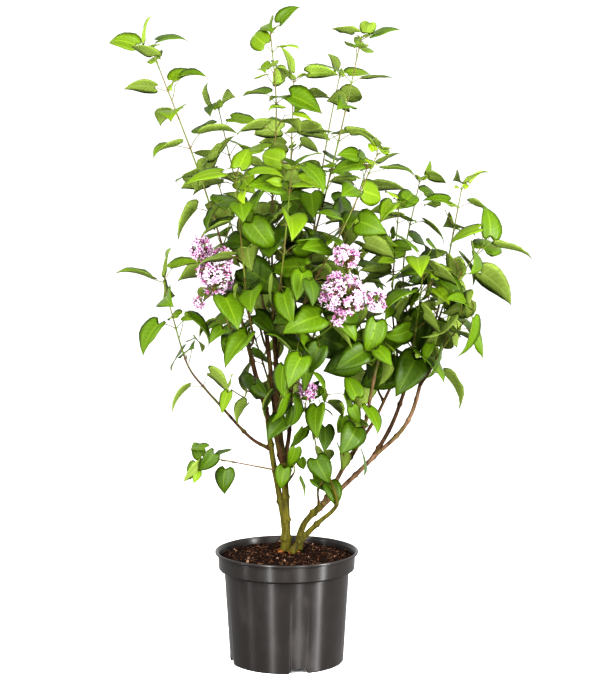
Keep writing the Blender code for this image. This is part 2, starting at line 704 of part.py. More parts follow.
# A twig leaves its stem at a pair of leaves and carries smaller pairs of its own.
def grow_twig(draw, owner, spot, way, turn, length, leaf, droop):
    for attempt in range(TRIES):
        side = bearing_of(way, turn + draw.uniform(-0.5, 0.5) * (1 + attempt))
        out = unit(side + way * draw.uniform(0.7, 1.3))
        reach = length * (1 - 0.05 * attempt)
        end = spot + out * reach + np.array((0, 0, TWIG_RISE * reach))
        path = smooth_path((spot, spot + 0.5 * reach * out, end), TWIG_STEP)
        radii = np.linspace(*TWIG_RADII, len(path))
        points, faces = tube(path, radii, TWIG_SIDES)
        if hits(points, faces, skip=(owner,)):
            continue
        remember(owner, points, faces)
        parts = [(points, faces)]
        for share, quarter in TWIG_LEAVES:
            at, heading = read_path(path, share)
            parts.append(grow_leaf(draw, owner, at, heading, 0.001, quarter, leaf, droop))
        return [part for part in parts if part]
    return []


# A flower head: bumpy lobes, each on a stalk of its own from the stem's tip.
def grow_blossom(draw, tip, way, lobes):
    parts = []
    for x, y, z, wide, high in lobes:
        centre = tip + np.array((x, y, z))
        path = smooth_path((tip - way * HEAD_FOOT, tip, centre), TWIG_STEP)
        parts.append(tube(path, np.full(len(path), HEAD_STALK_RADIUS), HEAD_STALK_SIDES))
        shape = bmesh.new()
        bmesh.ops.create_icosphere(shape, subdivisions=2, radius=1)
        for vert in shape.verts:
            bump = 1 + draw.uniform(-HEAD_BUMP, HEAD_BUMP)
            vert.co = centre + np.array(vert.co) * (wide, wide, high) * bump
        shape.verts.index_update()
        points = np.array([tuple(v.co) for v in shape.verts])
        parts.append((points, [tuple(v.index for v in f.verts) for f in shape.faces]))
        shape.free()
    return parts


# A stem with its leaves and twigs, as a list of closed solids.
def grow_shoot(name, row, path, stem):
    draw = random.Random(row["seed"])
    parts = [stem]
    last = LAST_PAIR_UNDER_BLOSSOM if "lobes" in row else LAST_PAIR
    twig_nodes = [1 + round(k * (row["pairs"] - 2) / max(row["twigs"], 1))
                  for k in range(row["twigs"])]
    turn = math.radians(row["turn"])
    for node, share in enumerate(pair_places(row["pairs"], last)):
        spot, way = read_path(path, share)
        radius = float(np.interp(share, (0, 1), STEM_RADII))
        length = float(np.interp(share, (0, 1), row["leaf"]))
        droop = float(np.interp(share, (0, 1), row["droop"]))
        if node in twig_nodes:
            root = spot + way * 0.004
            parts += grow_twig(draw, name, root, way, turn + math.pi / 4, TWIG_LENGTH,
                               length * TWIG_LEAF, droop)
        for half in (0, math.pi):
            leaf = grow_leaf(draw, name, spot, way, radius, turn + half, length, droop)
            if leaf:
                parts.append(leaf)
        turn += math.pi / 2 + draw.uniform(-NEXT_TURN, NEXT_TURN)
    if "lobes" not in row:
        spot, way = read_path(path, BUD_PLACE)
        length = row["leaf"][1] * BUD_SIZE
        bud = grow_leaf(draw, name, spot, way, BUD_RADIUS, turn, length, BUD_DROOP)
        if bud:
            parts.append(bud)
    return parts


def join_mass(name, parts, blossom, leaf_finish, blossom_finish):
    made = add_object(name, *parts[0], leaf_finish)
    group = bpy.data.collections.new(name + "_parts")
    bpy.context.scene.collection.children.link(group)
    for finish, solids in ((leaf_finish, parts[1:]), (blossom_finish, blossom)):
        for points, faces in solids:
            piece = add_object("piece", points, faces, finish)
            bpy.context.scene.collection.objects.unlink(piece)
            group.objects.link(piece)
    union = made.modifiers.new("union", "BOOLEAN")
    union.operation = "UNION"
    union.operand_type = "COLLECTION"
    union.collection = group
    union.solver = "MANIFOLD"
    apply_modifiers(made)
    for piece in list(group.objects):
        bpy.data.objects.remove(piece)
    bpy.data.collections.remove(group)
    keep_largest(made)
    return made


def main():
    for old in list(bpy.data.objects):
        bpy.data.objects.remove(old)
    pot_finish = material("pot plastic", (0.045, 0.043, 0.043), 0.3)
    compost_finish = material("compost", (0.035, 0.018, 0.012), 0.95)
    moss_finish = material("mossy bark", (0.12, 0.11, 0.02), 0.85)
    bark_finish = material("brown bark", (0.11, 0.055, 0.03), 0.8)
    leaf_finish = material("leaf", (0.10, 0.27, 0.01), 0.5)
    blossom_finish = material("blossom", (0.62, 0.36, 0.60), 0.6)

    make_pot(pot_finish)
    make_compost(compost_finish)
    for name, row in LIMBS.items():
        finish = moss_finish if name in MOSSY else bark_finish
        made = make_limb(name, finish=finish, **row)
        points = np.array([tuple(v.co) for v in made.data.vertices])
        faces = [tuple(p.vertices) for p in made.data.polygons]
        must_be_clear(name, points, faces)
        remember(name, points, faces)
    stems = {}
    for name, row in SHOOTS.items():
        path, out = stem_path(row)
        stem = tube(path, np.linspace(*STEM_RADII, len(path)), STEM_SIDES, out)
        must_be_clear(name, *stem)
        remember(name, *stem)
        stems[name] = (path, stem)
    blossoms = {name: [] for name in SHOOTS}
    for name, row in SHOOTS.items():
        if "lobes" in row:
            path = stems[name][0]
            draw = random.Random(row["seed"])
            way = unit(path[-1] - path[-2])
            blossoms[name] = grow_blossom(draw, path[-1], way, row["lobes"])
            for points, faces in blossoms[name]:
                must_be_clear(name, points, faces, skip=(name,))
                remember(name, points, faces)
    for name, row in SHOOTS.items():
        parts = grow_shoot(name, row, *stems[name])
        join_mass(name, parts, blossoms[name], leaf_finish, blossom_finish)


main()
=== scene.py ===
import math
import random

import bmesh
import bpy
import numpy as np
from mathutils.bvhtree import BVHTree
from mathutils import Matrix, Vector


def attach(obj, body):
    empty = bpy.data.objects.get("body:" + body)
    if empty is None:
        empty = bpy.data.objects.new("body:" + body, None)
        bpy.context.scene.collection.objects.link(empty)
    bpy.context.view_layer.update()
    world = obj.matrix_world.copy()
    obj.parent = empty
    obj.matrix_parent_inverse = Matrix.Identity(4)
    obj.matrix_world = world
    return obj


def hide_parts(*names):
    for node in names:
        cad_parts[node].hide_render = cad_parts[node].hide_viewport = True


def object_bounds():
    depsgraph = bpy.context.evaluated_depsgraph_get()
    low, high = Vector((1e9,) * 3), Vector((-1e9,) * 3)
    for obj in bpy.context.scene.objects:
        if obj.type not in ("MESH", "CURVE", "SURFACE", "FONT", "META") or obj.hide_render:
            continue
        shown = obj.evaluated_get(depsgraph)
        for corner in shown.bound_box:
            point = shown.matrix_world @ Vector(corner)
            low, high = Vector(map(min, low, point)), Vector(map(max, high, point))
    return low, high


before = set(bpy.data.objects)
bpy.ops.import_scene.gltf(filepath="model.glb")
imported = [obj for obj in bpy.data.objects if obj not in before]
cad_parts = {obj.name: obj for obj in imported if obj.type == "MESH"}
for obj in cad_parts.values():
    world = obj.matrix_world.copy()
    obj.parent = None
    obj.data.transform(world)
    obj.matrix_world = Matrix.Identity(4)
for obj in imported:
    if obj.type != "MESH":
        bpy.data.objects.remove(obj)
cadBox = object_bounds()
print("frame loaded")

# A lilac bush in its nursery pot. The limbs and shoots repeat the solids' own rule and values,
# so each leaf, stalk and flower head grows where its solid stands. Lengths in metres.

seam = 0.0003
cutHeight = 0.2023

# Limbs: what each springs from and how far along, its radii at foot and tip, its bark, the
# points it passes through and how far its foot flares
def limbRow(limb, at, radii, bark, *through, flare=0):
    return dict(limb=limb, at=at, radii=radii, bark=bark, through=through, flare=flare)


limbs = {
    "trunk": limbRow(
        None, 0, (0.0072, 0.0062), "moss", (-0.001, 0.002, cutHeight), (-0.002, 0.001, 0.305),
        (-0.010, 0.0, 0.396), flare=0.0045),
    "stem_left": limbRow(
        "trunk", 0.17, (0.0055, 0.0047), "moss", (-0.0165, -0.001, 0.323), (-0.027, -0.001, 0.385),
        (-0.034, -0.002, 0.442)),
    "bough_far_left": limbRow(
        "stem_left", 0.74, (0.0031, 0.0024), "brown", (-0.066, -0.02, 0.414), (-0.122, -0.04, 0.479)),
    "twig_left": limbRow(
        "trunk", 0.74, (0.0017, 0.0012), "pink", (-0.026, -0.024, 0.356), (-0.083, -0.04, 0.370)),
    "bough_left_outer": limbRow(
        "stem_left", 1, (0.0044, 0.0036), "brown", (-0.0535, -0.015, 0.520), (-0.075, -0.03, 0.608)),
    "bough_left_inner": limbRow(
        "trunk", 0.82, (0.0046, 0.0036), "brown", (-0.017, -0.016, 0.408), (-0.022, -0.018, 0.470),
        (-0.038, -0.006, 0.619)),
    "bough_centre": limbRow(
        "trunk", 1, (0.0052, 0.0036), "brown", (-0.016, 0.020, 0.470), (-0.024, 0.050, 0.634)),
    "bough_right": limbRow(
        "trunk", 0.80, (0.0040, 0.0032), "brown", (0.004, 0.008, 0.412), (0.007, 0.010, 0.480),
        (0.014, 0.024, 0.619)),
    "cane_right": limbRow(
        None, 0, (0.0054, 0.0052), "moss", (0.020, 0.014, cutHeight), (0.030, 0.013, 0.246),
        (0.063, 0.010, 0.286), flare=0.003),
    "cane_pink": limbRow(
        "cane_right", 1, (0.0042, 0.0030), "pink", (0.099, -0.004, 0.350), (0.135, -0.012, 0.415),
        (0.157, -0.020, 0.525)),
    "cane_outer": limbRow(
        "cane_right", 0.68, (0.0047, 0.0032), "pink", (0.078, 0.025, 0.292), (0.155, 0.032, 0.366),
        (0.222, 0.045, 0.436), (0.256, 0.060, 0.556)),
    "cane_second": limbRow(
        "cane_outer", 0.42, (0.0040, 0.0030), "brown", (0.193, 0.060, 0.427), (0.223, 0.090, 0.503)),
    "cane_dark": limbRow(
        "cane_pink", 0.42, (0.0032, 0.0026), "brown", (0.158, 0.010, 0.440), (0.187, 0.030, 0.495)),
    "cane_front": limbRow(
        None, 0, (0.0058, 0.0024), "moss", (0.009, -0.016, cutHeight), (0.032, -0.017, 0.232),
        (0.058, -0.020, 0.259), (0.083, -0.022, 0.281), (0.090, -0.024, 0.300), (0.077, -0.024, 0.340),
        flare=0.002),
}


# Shoots: what each springs from and how far along, the joined piece that its leaves go to, its
# leaf lengths and droops from foot to tip, and the points it passes through. turn is the first
# pair's bearing, and a flower head's lobes are x, y, z from the tip, radius and half height.
def shootRow(limb, at, spray, leaf, droop, *through, pairs, seed, turn=0, twigs=0, **lobes):
    return dict(limb=limb, at=at, spray=spray, leaf=leaf, droop=droop, through=through,
                pairs=pairs, seed=seed, turn=turn, twigs=twigs, **lobes)


shoots = {
    "leaves_left_tall": shootRow(
        "bough_left_outer", 1, "left", (0.088, 0.060), (30, -15), (-0.113, -0.05, 0.761),
        (-0.158, -0.06, 0.905), (-0.236, -0.05, 1.108), pairs=9, twigs=1, seed=24),
    "leaves_left_inner": shootRow(
        "bough_left_inner", 1, "left", (0.088, 0.058), (35, -10), (-0.070, 0.05, 0.778),
        (-0.100, 0.06, 0.900), (-0.123, 0.07, 1.000), pairs=7, twigs=1, turn=60, seed=54),
    "leaves_centre_tall": shootRow(
        "bough_centre", 1, "centre", (0.086, 0.058), (30, -20), (-0.026, 0.03, 0.819),
        (-0.018, 0.0, 1.0), (-0.028, -0.02, 1.136), pairs=9, twigs=1, turn=30, seed=8),
    "leaves_centre_back": shootRow(
        "bough_centre", 0.80, "centre", (0.085, 0.060), (30, -10), (0.005, 0.12, 0.83),
        (0.013, 0.12, 1.051), pairs=7, turn=10, seed=59),
    "leaves_right_tall": shootRow(
        "bough_right", 1, "right", (0.086, 0.058), (30, -20), (0.056, 0.0, 0.798),
        (0.095, -0.01, 0.955), (0.132, -0.02, 1.126), pairs=9, twigs=1, seed=17),
    "leaves_right_back": shootRow(
        "bough_right", 0.70, "right", (0.085, 0.060), (30, -10), (0.052, 0.09, 0.800),
        (0.075, 0.11, 0.95), (0.097, 0.12, 1.06), pairs=7, turn=40, seed=4),
    "leaves_middle_right": shootRow(
        "bough_right", 0.92, "right", (0.080, 0.062), (35, -10), (0.040, -0.05, 0.680),
        (0.095, -0.09, 0.785), (0.159, -0.10, 0.925), pairs=7, twigs=1, turn=70, seed=28),
    "leaves_far_left": shootRow(
        "bough_far_left", 1, "left", (0.056, 0.070), (40, -5), (-0.175, -0.055, 0.55),
        (-0.201, -0.063, 0.640), (-0.216, -0.065, 0.700), pairs=5, turn=20, seed=1),
    "leaves_low_left": shootRow(
        "twig_left", 1, "left", (0.045, 0.052), (55, 40), (-0.110, -0.046, 0.375),
        (-0.138, -0.052, 0.384), pairs=3, turn=30, seed=25),
    "leaves_pink_cane": shootRow(
        "cane_pink", 1, "outer", (0.064, 0.062), (60, 30), (0.140, -0.05, 0.590), (0.118, -0.07, 0.660),
        pairs=5, turn=10, seed=13),
    "leaves_dark_cane": shootRow(
        "cane_dark", 1, "outer", (0.080, 0.050), (40, -10), (0.190, 0.03, 0.655), (0.200, 0.0, 0.830),
        pairs=7, twigs=1, turn=50, seed=18),
    "leaves_second_cane": shootRow(
        "cane_second", 1, "outer", (0.082, 0.052), (40, -10), (0.212, 0.09, 0.70), (0.241, 0.08, 0.870),
        pairs=7, twigs=1, seed=21),
    "leaves_right_middle": shootRow(
        "cane_second", 0.86, "outer", (0.084, 0.074), (38, 8), (0.226, 0.030, 0.56),
        (0.236, -0.035, 0.660), (0.242, -0.060, 0.735), pairs=7, turn=35, seed=50),
    "leaves_right_top": shootRow(
        "cane_outer", 1, "outer", (0.080, 0.052), (35, -15), (0.285, 0.08, 0.678), (0.317, 0.08, 0.855),
        pairs=6, turn=15, seed=52),
    "leaves_far_right": shootRow(
        "cane_outer", 0.94, "outer", (0.082, 0.078), (35, 18), (0.286, 0.010, 0.660),
        (0.350, -0.02, 0.762), pairs=6, twigs=1, turn=80, seed=52),
    "leaves_right_low": shootRow(
        "cane_outer", 0.84, "outer", (0.078, 0.078), (55, 45), (0.280, -0.010, 0.575),
        (0.325, -0.06, 0.640), pairs=4, turn=10, seed=34),
    "leaves_back_left": shootRow(
        "bough_left_inner", 0.80, "back", (0.085, 0.058), (40, 0), (-0.070, 0.09, 0.68),
        (-0.140, 0.17, 0.90), pairs=6, twigs=1, turn=25, seed=9),
    "leaves_back_centre": shootRow(
        "bough_centre", 0.62, "back", (0.085, 0.058), (40, 0), (-0.01, 0.16, 0.70),
        (0.010, 0.225, 0.92), pairs=6, twigs=1, turn=55, seed=1),
    "leaves_back_right": shootRow(
        "bough_right", 0.55, "back", (0.085, 0.058), (40, 0), (0.08, 0.12, 0.68), (0.150, 0.20, 0.89),
        pairs=6, twigs=1, turn=5, seed=6),
    "leaves_back_low": shootRow(
        "cane_dark", 0.80, "back", (0.080, 0.060), (55, 25), (0.160, 0.11, 0.56), (0.130, 0.19, 0.70),
        pairs=5, turn=45, seed=1),
    "leaves_front_left": shootRow(
        "bough_left_outer", 0.80, "left", (0.074, 0.066), (45, 5), (-0.070, -0.09, 0.68),
        (-0.085, -0.16, 0.88), pairs=6, turn=65, seed=52),
    "leaves_front_centre": shootRow(
        "bough_left_inner", 0.90, "centre", (0.074, 0.066), (45, 5), (-0.010, -0.10, 0.70),
        (0.010, -0.15, 0.90), pairs=6, twigs=1, turn=15, seed=60),
    "leaves_low_front": shootRow(
        "bough_left_inner", 0.40, "centre", (0.060, 0.064), (70, 50), (0.005, -0.07, 0.500),
        (0.020, -0.12, 0.580), pairs=4, turn=20, seed=43),
    "leaves_low_centre": shootRow(
        "cane_right", 0.93, "centre", (0.046, 0.060), (72, 55), (0.066, -0.024, 0.345),
        (0.050, -0.035, 0.425), (0.074, -0.050, 0.497), pairs=5, seed=55),
    "leaves_low_right": shootRow(
        "cane_pink", 0.35, "outer", (0.062, 0.060), (65, 50), (0.118, -0.040, 0.420),
        (0.128, -0.060, 0.470), pairs=3, seed=27),
    "leaves_low_trunk": shootRow(
        "trunk", 0.62, "centre", (0.040, 0.046), (75, 70), (0.012, -0.030, 0.372),
        (0.014, -0.036, 0.392), pairs=2, seed=14),
    "leaves_left_low": shootRow(
        "bough_left_outer", 0.25, "left", (0.044, 0.044), (50, 30), (-0.075, -0.045, 0.490),
        (-0.098, -0.055, 0.505), pairs=2, seed=20),
    "leaves_low_back": shootRow(
        "bough_centre", 0.35, "back", (0.070, 0.070), (60, 30), (-0.04, 0.09, 0.520),
        (-0.08, 0.15, 0.640), pairs=5, turn=30, seed=3),
    "blossom_left": shootRow(
        "bough_left_outer", 0.93, "left", (0.075, 0.070), (50, 35), (-0.110, -0.07, 0.645),
        (-0.126, -0.09, 0.682), pairs=2, turn=20, seed=36, lobes=((0.003, 0, 0.031, 0.032, 0.034),
        (-0.023, 0, 0.076, 0.020, 0.022), (0.016, -0.002, 0.060, 0.017, 0.019),
        (-0.026, 0, -0.019, 0.010, 0.013))),
    "blossom_right": shootRow(
        "bough_right", 0.85, "right", (0.080, 0.080), (50, 40), (0.050, -0.08, 0.600),
        (0.104, -0.135, 0.650), pairs=3, turn=40, seed=37, lobes=((-0.006, 0, 0.032, 0.042, 0.037),
        (0.001, 0, 0.099, 0.024, 0.018), (0.051, 0, 0.022, 0.016, 0.022),
        (-0.013, 0, -0.010, 0.010, 0.012))),
    "blossom_small": shootRow(
        "bough_right", 0.30, "centre", (0.060, 0.060), (60, 50), (0.030, -0.05, 0.465),
        (0.036, -0.085, 0.495), pairs=2, turn=60, seed=41, lobes=((0.002, 0, 0.014, 0.016, 0.017),
        (-0.007, 0, 0.031, 0.010, 0.010))),
}

growth = dict(
    limbStep=0.034, flareReach=0.026,
    stemRadii=(0.0023, 0.0009), stemSides=3, stemStep=0.065, leaveAlong=0.8, leaveReach=0.035,
    bareShare=0.16, lastPair=0.985, lastPairUnderBlossom=0.78, crowding=1.25, nextTurn=0.25,
    tries=9, turnSpread=0.35, forward=(0.45, 0.95), sizes=(0.86, 1.1), sizeLoss=0.35,
    stalkShare=0.42, stalks=(0.8, 1.2), stalkRadius=0.0009, droopSpread=18, rollSpread=0.6,
    folds=(0.12, 0.5), curls=(0.25, 0.9), outward=0.7, crownMiddle=(0.03, 0.02), testGrowth=1.04,
    outline=((-0.08, 0.21), (0.18, 0.37), (0.62, 0.27)), youngLength=0.085,
    youngOutline=((0.04, 0.28), (0.46, 0.29)), midrib=0.42, thickness=0.018,
    twigLength=0.085, twigRadii=(0.0013, 0.0008), twigStep=0.03, twigLeaf=0.8,
    twigForward=(0.7, 1.3), twigRise=0.2, twigPairs=((0.7, 0), (0.7, math.pi), (0.98, math.pi / 2)),
    twigFoot=0.004, headStalkRadius=0.0013, headFoot=0.004, headBump=0.10,
    budAt=0.995, budLeaf=0.85, budDroop=-55)


# Each vector over its own length
def unit(vector):
    vector = np.asarray(vector, float)
    return vector / np.linalg.norm(vector, axis=-1, keepdims=True)


# Catmull-Rom curve through the points, read again at even steps of its length:
# 0.5 (2b + (c - a)t + (2a - 5b + 4c - d)t^2 + (3b - a - 3c + d)t^3) for each run b to c
def smoothPath(points, step):
    points = np.asarray(points, float)
    ends = (2 * points[0] - points[1], 2 * points[-1] - points[-2])
    knots = np.vstack([ends[0], points, ends[1]])
    t = np.linspace(0, 1, 24, endpoint=False)[:, None]
    runs = []
    for i in range(len(points) - 1):
        a, b, c, d = knots[i:i + 4]
        runs.append(0.5 * (2 * b + (c - a) * t + (2 * a - 5 * b + 4 * c - d) * t**2
                           + (3 * b - a - 3 * c + d) * t**3))
    fine = np.vstack(runs + [points[-1:]])
    length = np.concatenate([[0], np.cumsum(np.linalg.norm(np.diff(fine, axis=0), axis=1))])
    count = max(3, round(length[-1] / step) + 1)
    even = np.linspace(0, length[-1], count)
    return np.stack([np.interp(even, length, fine[:, k]) for k in range(3)], axis=1)


# The path's way at each point: half the step from the point before to the point after, as unit
def tangentsOf(path):
    return unit(np.gradient(path, axis=0))


def lengthOf(path):
    return np.linalg.norm(np.diff(path, axis=0), axis=1).sum()


def anglesOf(count):
    return np.arange(count) * 2 * math.pi / count


# Quadratic arc from a to c under b: (1 - k)^2 a + 2k(1 - k) b + k^2 c
def arc(a, b, c, k):
    return (1 - k) ** 2 * a + 2 * k * (1 - k) * b + k**2 * c


# Coarse closed tube, only for the clearance tests
def testTube(path, radii, sides, first):
    along = tangentsOf(path)
    along[0] = first
    across = unit(np.cross(along[0], (0.31, 0.95, 0.05)))
    rings = []
    angle = anglesOf(sides)[:, None]
    for point, radius, way in zip(path, radii, along):
        across = unit(across - way * np.dot(across, way))
        other = np.cross(way, across)
        rings.append(point + radius * (np.cos(angle) * across + np.sin(angle) * other))
    rows = np.arange(len(path) - 1)[:, None] * sides
    here = np.arange(sides)
    after = (here + 1) % sides
    quads = np.stack([rows + here, rows + after, rows + after + sides, rows + here + sides], -1)
    last = (len(path) - 1) * sides
    faces = quads.reshape(-1, 4).tolist()
    return np.vstack(rings), faces + [here[::-1].tolist(), (here + last).tolist()]


placed = []  # owner, lowest corner, highest corner and search tree of each thing that stands


def treeOf(points, faces):
    return BVHTree.FromPolygons(np.asarray(points, float).tolist(), faces)


def remember(owner, points, faces):
    placed.append((owner, points.min(axis=0), points.max(axis=0), treeOf(points, faces)))


# True when the shape crosses anything that stands, apart from what belongs to the owners in skip
def meets(points, faces, skip=()):
    low = points.min(axis=0) - seam
    high = points.max(axis=0) + seam
    tree = None
    for owner, otherLow, otherHigh, other in placed:
        if owner in skip or (otherLow > high).any() or (otherHigh < low).any():
            continue
        tree = tree or treeOf(points, faces)
        if tree.overlap(other):
            return True
    return False


limbLines = {}  # coarse line and radii of each limb, as its solid has them


# Point, way and radius of a limb at a share of its points, straight between two of them
def pointOn(limb, share):
    path, radii = limbLines[limb]
    place = share * (len(path) - 1)
    before = min(int(place), len(path) - 2)
    rest = place - before
    point = path[before] * (1 - rest) + path[before + 1] * rest
    return point, tangentsOf(path)[round(place)], np.interp(place, np.arange(len(path)), radii)


# A limb starts on its carrier's line, or a seam beyond its tip where it carries on from it
def limbPoints(row):
    if row["limb"] is None:
        return row["through"]
    start, way, _ = pointOn(row["limb"], row["at"])
    if row["at"] == 1:
        return (start + seam * way, start + 0.012 * way) + row["through"]
    return (start,) + row["through"]


# Radius falls evenly from foot to tip, and swells at the foot by flare * e^(-distance / reach)
def limbRadii(row, path):
    share = np.linspace(0, 1, len(path))
    low, high = row["radii"]
    swell = row["flare"] * np.exp(-share * lengthOf(path) / growth["flareReach"])
    return low + (high - low) * share + swell


# Distance from a point to the limb's line, less its radius there, least over all its runs
def clearance(point, limb):
    path, radii = limbLines[limb]
    run = np.diff(path, axis=0)
    share = np.clip(np.sum((point - path[:-1]) * run, axis=1) / np.sum(run * run, axis=1), 0, 1)
    near = path[:-1] + run * share[:, None]
    thick = radii[:-1] + np.diff(radii) * share
    return float(np.min(np.linalg.norm(point - near, axis=1) - thick))


# Where a shoot leaves its limb, and its way: out = unit(aim square to the limb) + leaveAlong * way.
# Its foot ring is moved out until it clears the limb's line, then back until it nears the solid.
def stemStart(limb, at, aim):
    start, way, radius = pointOn(limb, at)
    if at == 1:
        return start + way * seam, way
    aim = aim - start
    out = unit(unit(aim - way * np.dot(aim, way)) + growth["leaveAlong"] * way)
    angle = np.linspace(0, 2 * math.pi, 8, endpoint=False)[:, None]
    across = unit(np.cross(out, way + 0.01))
    other = np.cross(out, across)
    ring = growth["stemRadii"][0] * (np.cos(angle) * across + np.sin(angle) * other)
    reach = radius
    while min(clearance(start + out * reach + r, limb) for r in ring) < seam:
        reach += seam / 3
    tree = next(tree for owner, _, _, tree in placed if owner == limb)
    while min(tree.find_nearest(tuple(start + out * reach + r))[3] for r in ring) > seam:
        reach -= seam / 6
    return start + out * reach, out


# Point and way on a path at a share of its points
def readPath(path, share):
    place = share * (len(path) - 1)
    before = min(int(place), len(path) - 2)
    spot = path[before] + (path[before + 1] - path[before]) * (place - before)
    return spot, unit(path[before + 1] - path[before])


# The way square to way that stands at the angle turn: cos a * level + sin a * (way x level)
def bearingOf(way, turn):
    level = unit(np.cross(way, (0.0, 1.0, 0.02)))
    return math.cos(turn) * level + math.sin(turn) * np.cross(way, level)


# The solids' own coarse leaf, for the clearance tests: a blade bent by curl along its length,
# folded by fold along its midrib, on a three-sided stalk
def testLeaf(root, joint, axis, normal, length, fold, curl):
    side = unit(np.cross(axis, normal))
    stalk = unit(joint - root)
    stalkSide = unit(np.cross(stalk, normal))
    stalkUp = np.cross(stalkSide, stalk)
    ring = [-stalkSide + 0.5 * stalkUp, stalkSide + 0.5 * stalkUp, -stalkUp]
    points = [root + growth["stalkRadius"] * v for v in ring]
    points += [joint + growth["stalkRadius"] * v for v in ring[:2]]

    def onBlade(u, w, lift):
        bend = curl * u
        up = normal * math.cos(bend) + axis * math.sin(bend)
        spot = joint + length * (axis * math.sin(bend) - normal * (1 - math.cos(bend))) / curl
        return spot + length * (w * math.cos(fold) * side + (abs(w) * math.sin(fold) + lift) * up)

    outline = growth["youngOutline"] if length < growth["youngLength"] else growth["outline"]
    for sign in (-1, 1):
        points += [onBlade(u, sign * w, 0) for u, w in outline]
    points.append(onBlade(1, 0, 0))
    points.append(onBlade(growth["midrib"], 0, growth["thickness"] / 2))
    points.append(onBlade(growth["midrib"], 0, -growth["thickness"] / 2))
    n = len(outline)
    left = [3] + list(range(5, 5 + n)) + [5 + 2 * n]
    right = [4] + list(range(5 + n, 5 + 2 * n)) + [5 + 2 * n]
    top, bottom = 6 + 2 * n, 7 + 2 * n
    blade = [(2, bottom, 4), (3, bottom, 2), (3, 4, top)]
    for a, b in zip(left, left[1:]):
        blade += [(a, top, b), (a, b, bottom)]
    for a, b in zip(right, right[1:]):
        blade += [(b, top, a), (b, a, bottom)]
    return np.array(points), [(0, 2, 1), (0, 4, 3), (0, 1, 4), (1, 2, 4), (2, 0, 3)] + blade


# One leaf of a pair, turned, tilted and shortened until it is clear of all that stands
def growLeaf(draw, owner, spot, way, radius, turn, length, droop):
    for attempt in range(growth["tries"]):
        ease = attempt / growth["tries"]
        spread = growth["turnSpread"]
        side = bearingOf(way, turn + draw.uniform(-spread, spread) * (1 + 2 * ease))
        out = unit(side + way * draw.uniform(*growth["forward"]))
        size = length * draw.uniform(*growth["sizes"]) * (1 - growth["sizeLoss"] * ease)
        stalk = size * growth["stalkShare"] * draw.uniform(*growth["stalks"])
        joint = spot + out * (radius + stalk)
        level = unit(np.array((out[0], out[1], 0.001)))
        spread = growth["droopSpread"]
        tilt = math.radians(droop + draw.uniform(-spread, spread) * (1 + ease))
        axis = level * math.cos(tilt) - np.array((0, 0, math.sin(tilt)))
        middle = growth["crownMiddle"]
        away = unit((spot[0] - middle[0], spot[1] - middle[1], 0.001))
        light = np.array((0, 0, 1.0)) + growth["outward"] * away
        up = unit(light - axis * np.dot(light, axis))
        roll = draw.uniform(-growth["rollSpread"], growth["rollSpread"])
        normal = up * math.cos(roll) + np.cross(axis, up) * math.sin(roll)
        fold = draw.uniform(*growth["folds"])
        curl = draw.uniform(*growth["curls"])
        root = spot + out * growth["stalkRadius"]
        points, faces = testLeaf(root, joint, axis, normal, size, fold, curl)
        blade = points[3:]
        grown = blade.mean(axis=0) + (blade - blade.mean(axis=0)) * growth["testGrowth"]
        if meets(grown, [tuple(i - 3 for i in face) for face in faces if min(face) >= 3]):
            continue
        if meets(points, faces, skip=(owner,)):
            continue
        remember(owner, points, faces)
        return dict(owner=owner, root=root, joint=joint, axis=axis, normal=normal, size=size,
                    fold=fold, curl=curl, out=out)
    return None


twigLines = []  # line and radii of every twig, for the finer stems


# A side twig that rises towards its end, with a pair of leaves and one more near its tip
def growTwig(draw, owner, spot, way, turn, length, leaf, droop):
    for attempt in range(growth["tries"]):
        side = bearingOf(way, turn + draw.uniform(-0.5, 0.5) * (1 + attempt))
        out = unit(side + way * draw.uniform(*growth["twigForward"]))
        reach = length * (1 - 0.05 * attempt)
        end = spot + out * reach + np.array((0, 0, growth["twigRise"] * reach))
        path = smoothPath((spot, spot + 0.5 * reach * out, end), growth["twigStep"])
        radii = np.linspace(*growth["twigRadii"], len(path))
        points, faces = testTube(path, radii, 3, tangentsOf(path)[0])
        if meets(points, faces, skip=(owner,)):
            continue
        remember(owner, points, faces)
        twigLines.append((path, radii))
        leaves = []
        for share, quarter in growth["twigPairs"]:
            at, heading = readPath(path, share)
            leaves.append(growLeaf(draw, owner, at, heading, 0.001, quarter, leaf, droop))
        return [leaf for leaf in leaves if leaf]
    return []


# Pairs crowd towards the tip: bare + (last - bare) (1 - (1 - s)^crowding), with s from 0 to 1
def pairPlaces(count, last):
    share = np.arange(count) / max(count - 1, 1)
    bare = growth["bareShare"]
    return bare + (last - bare) * (1 - (1 - share) ** growth["crowding"])


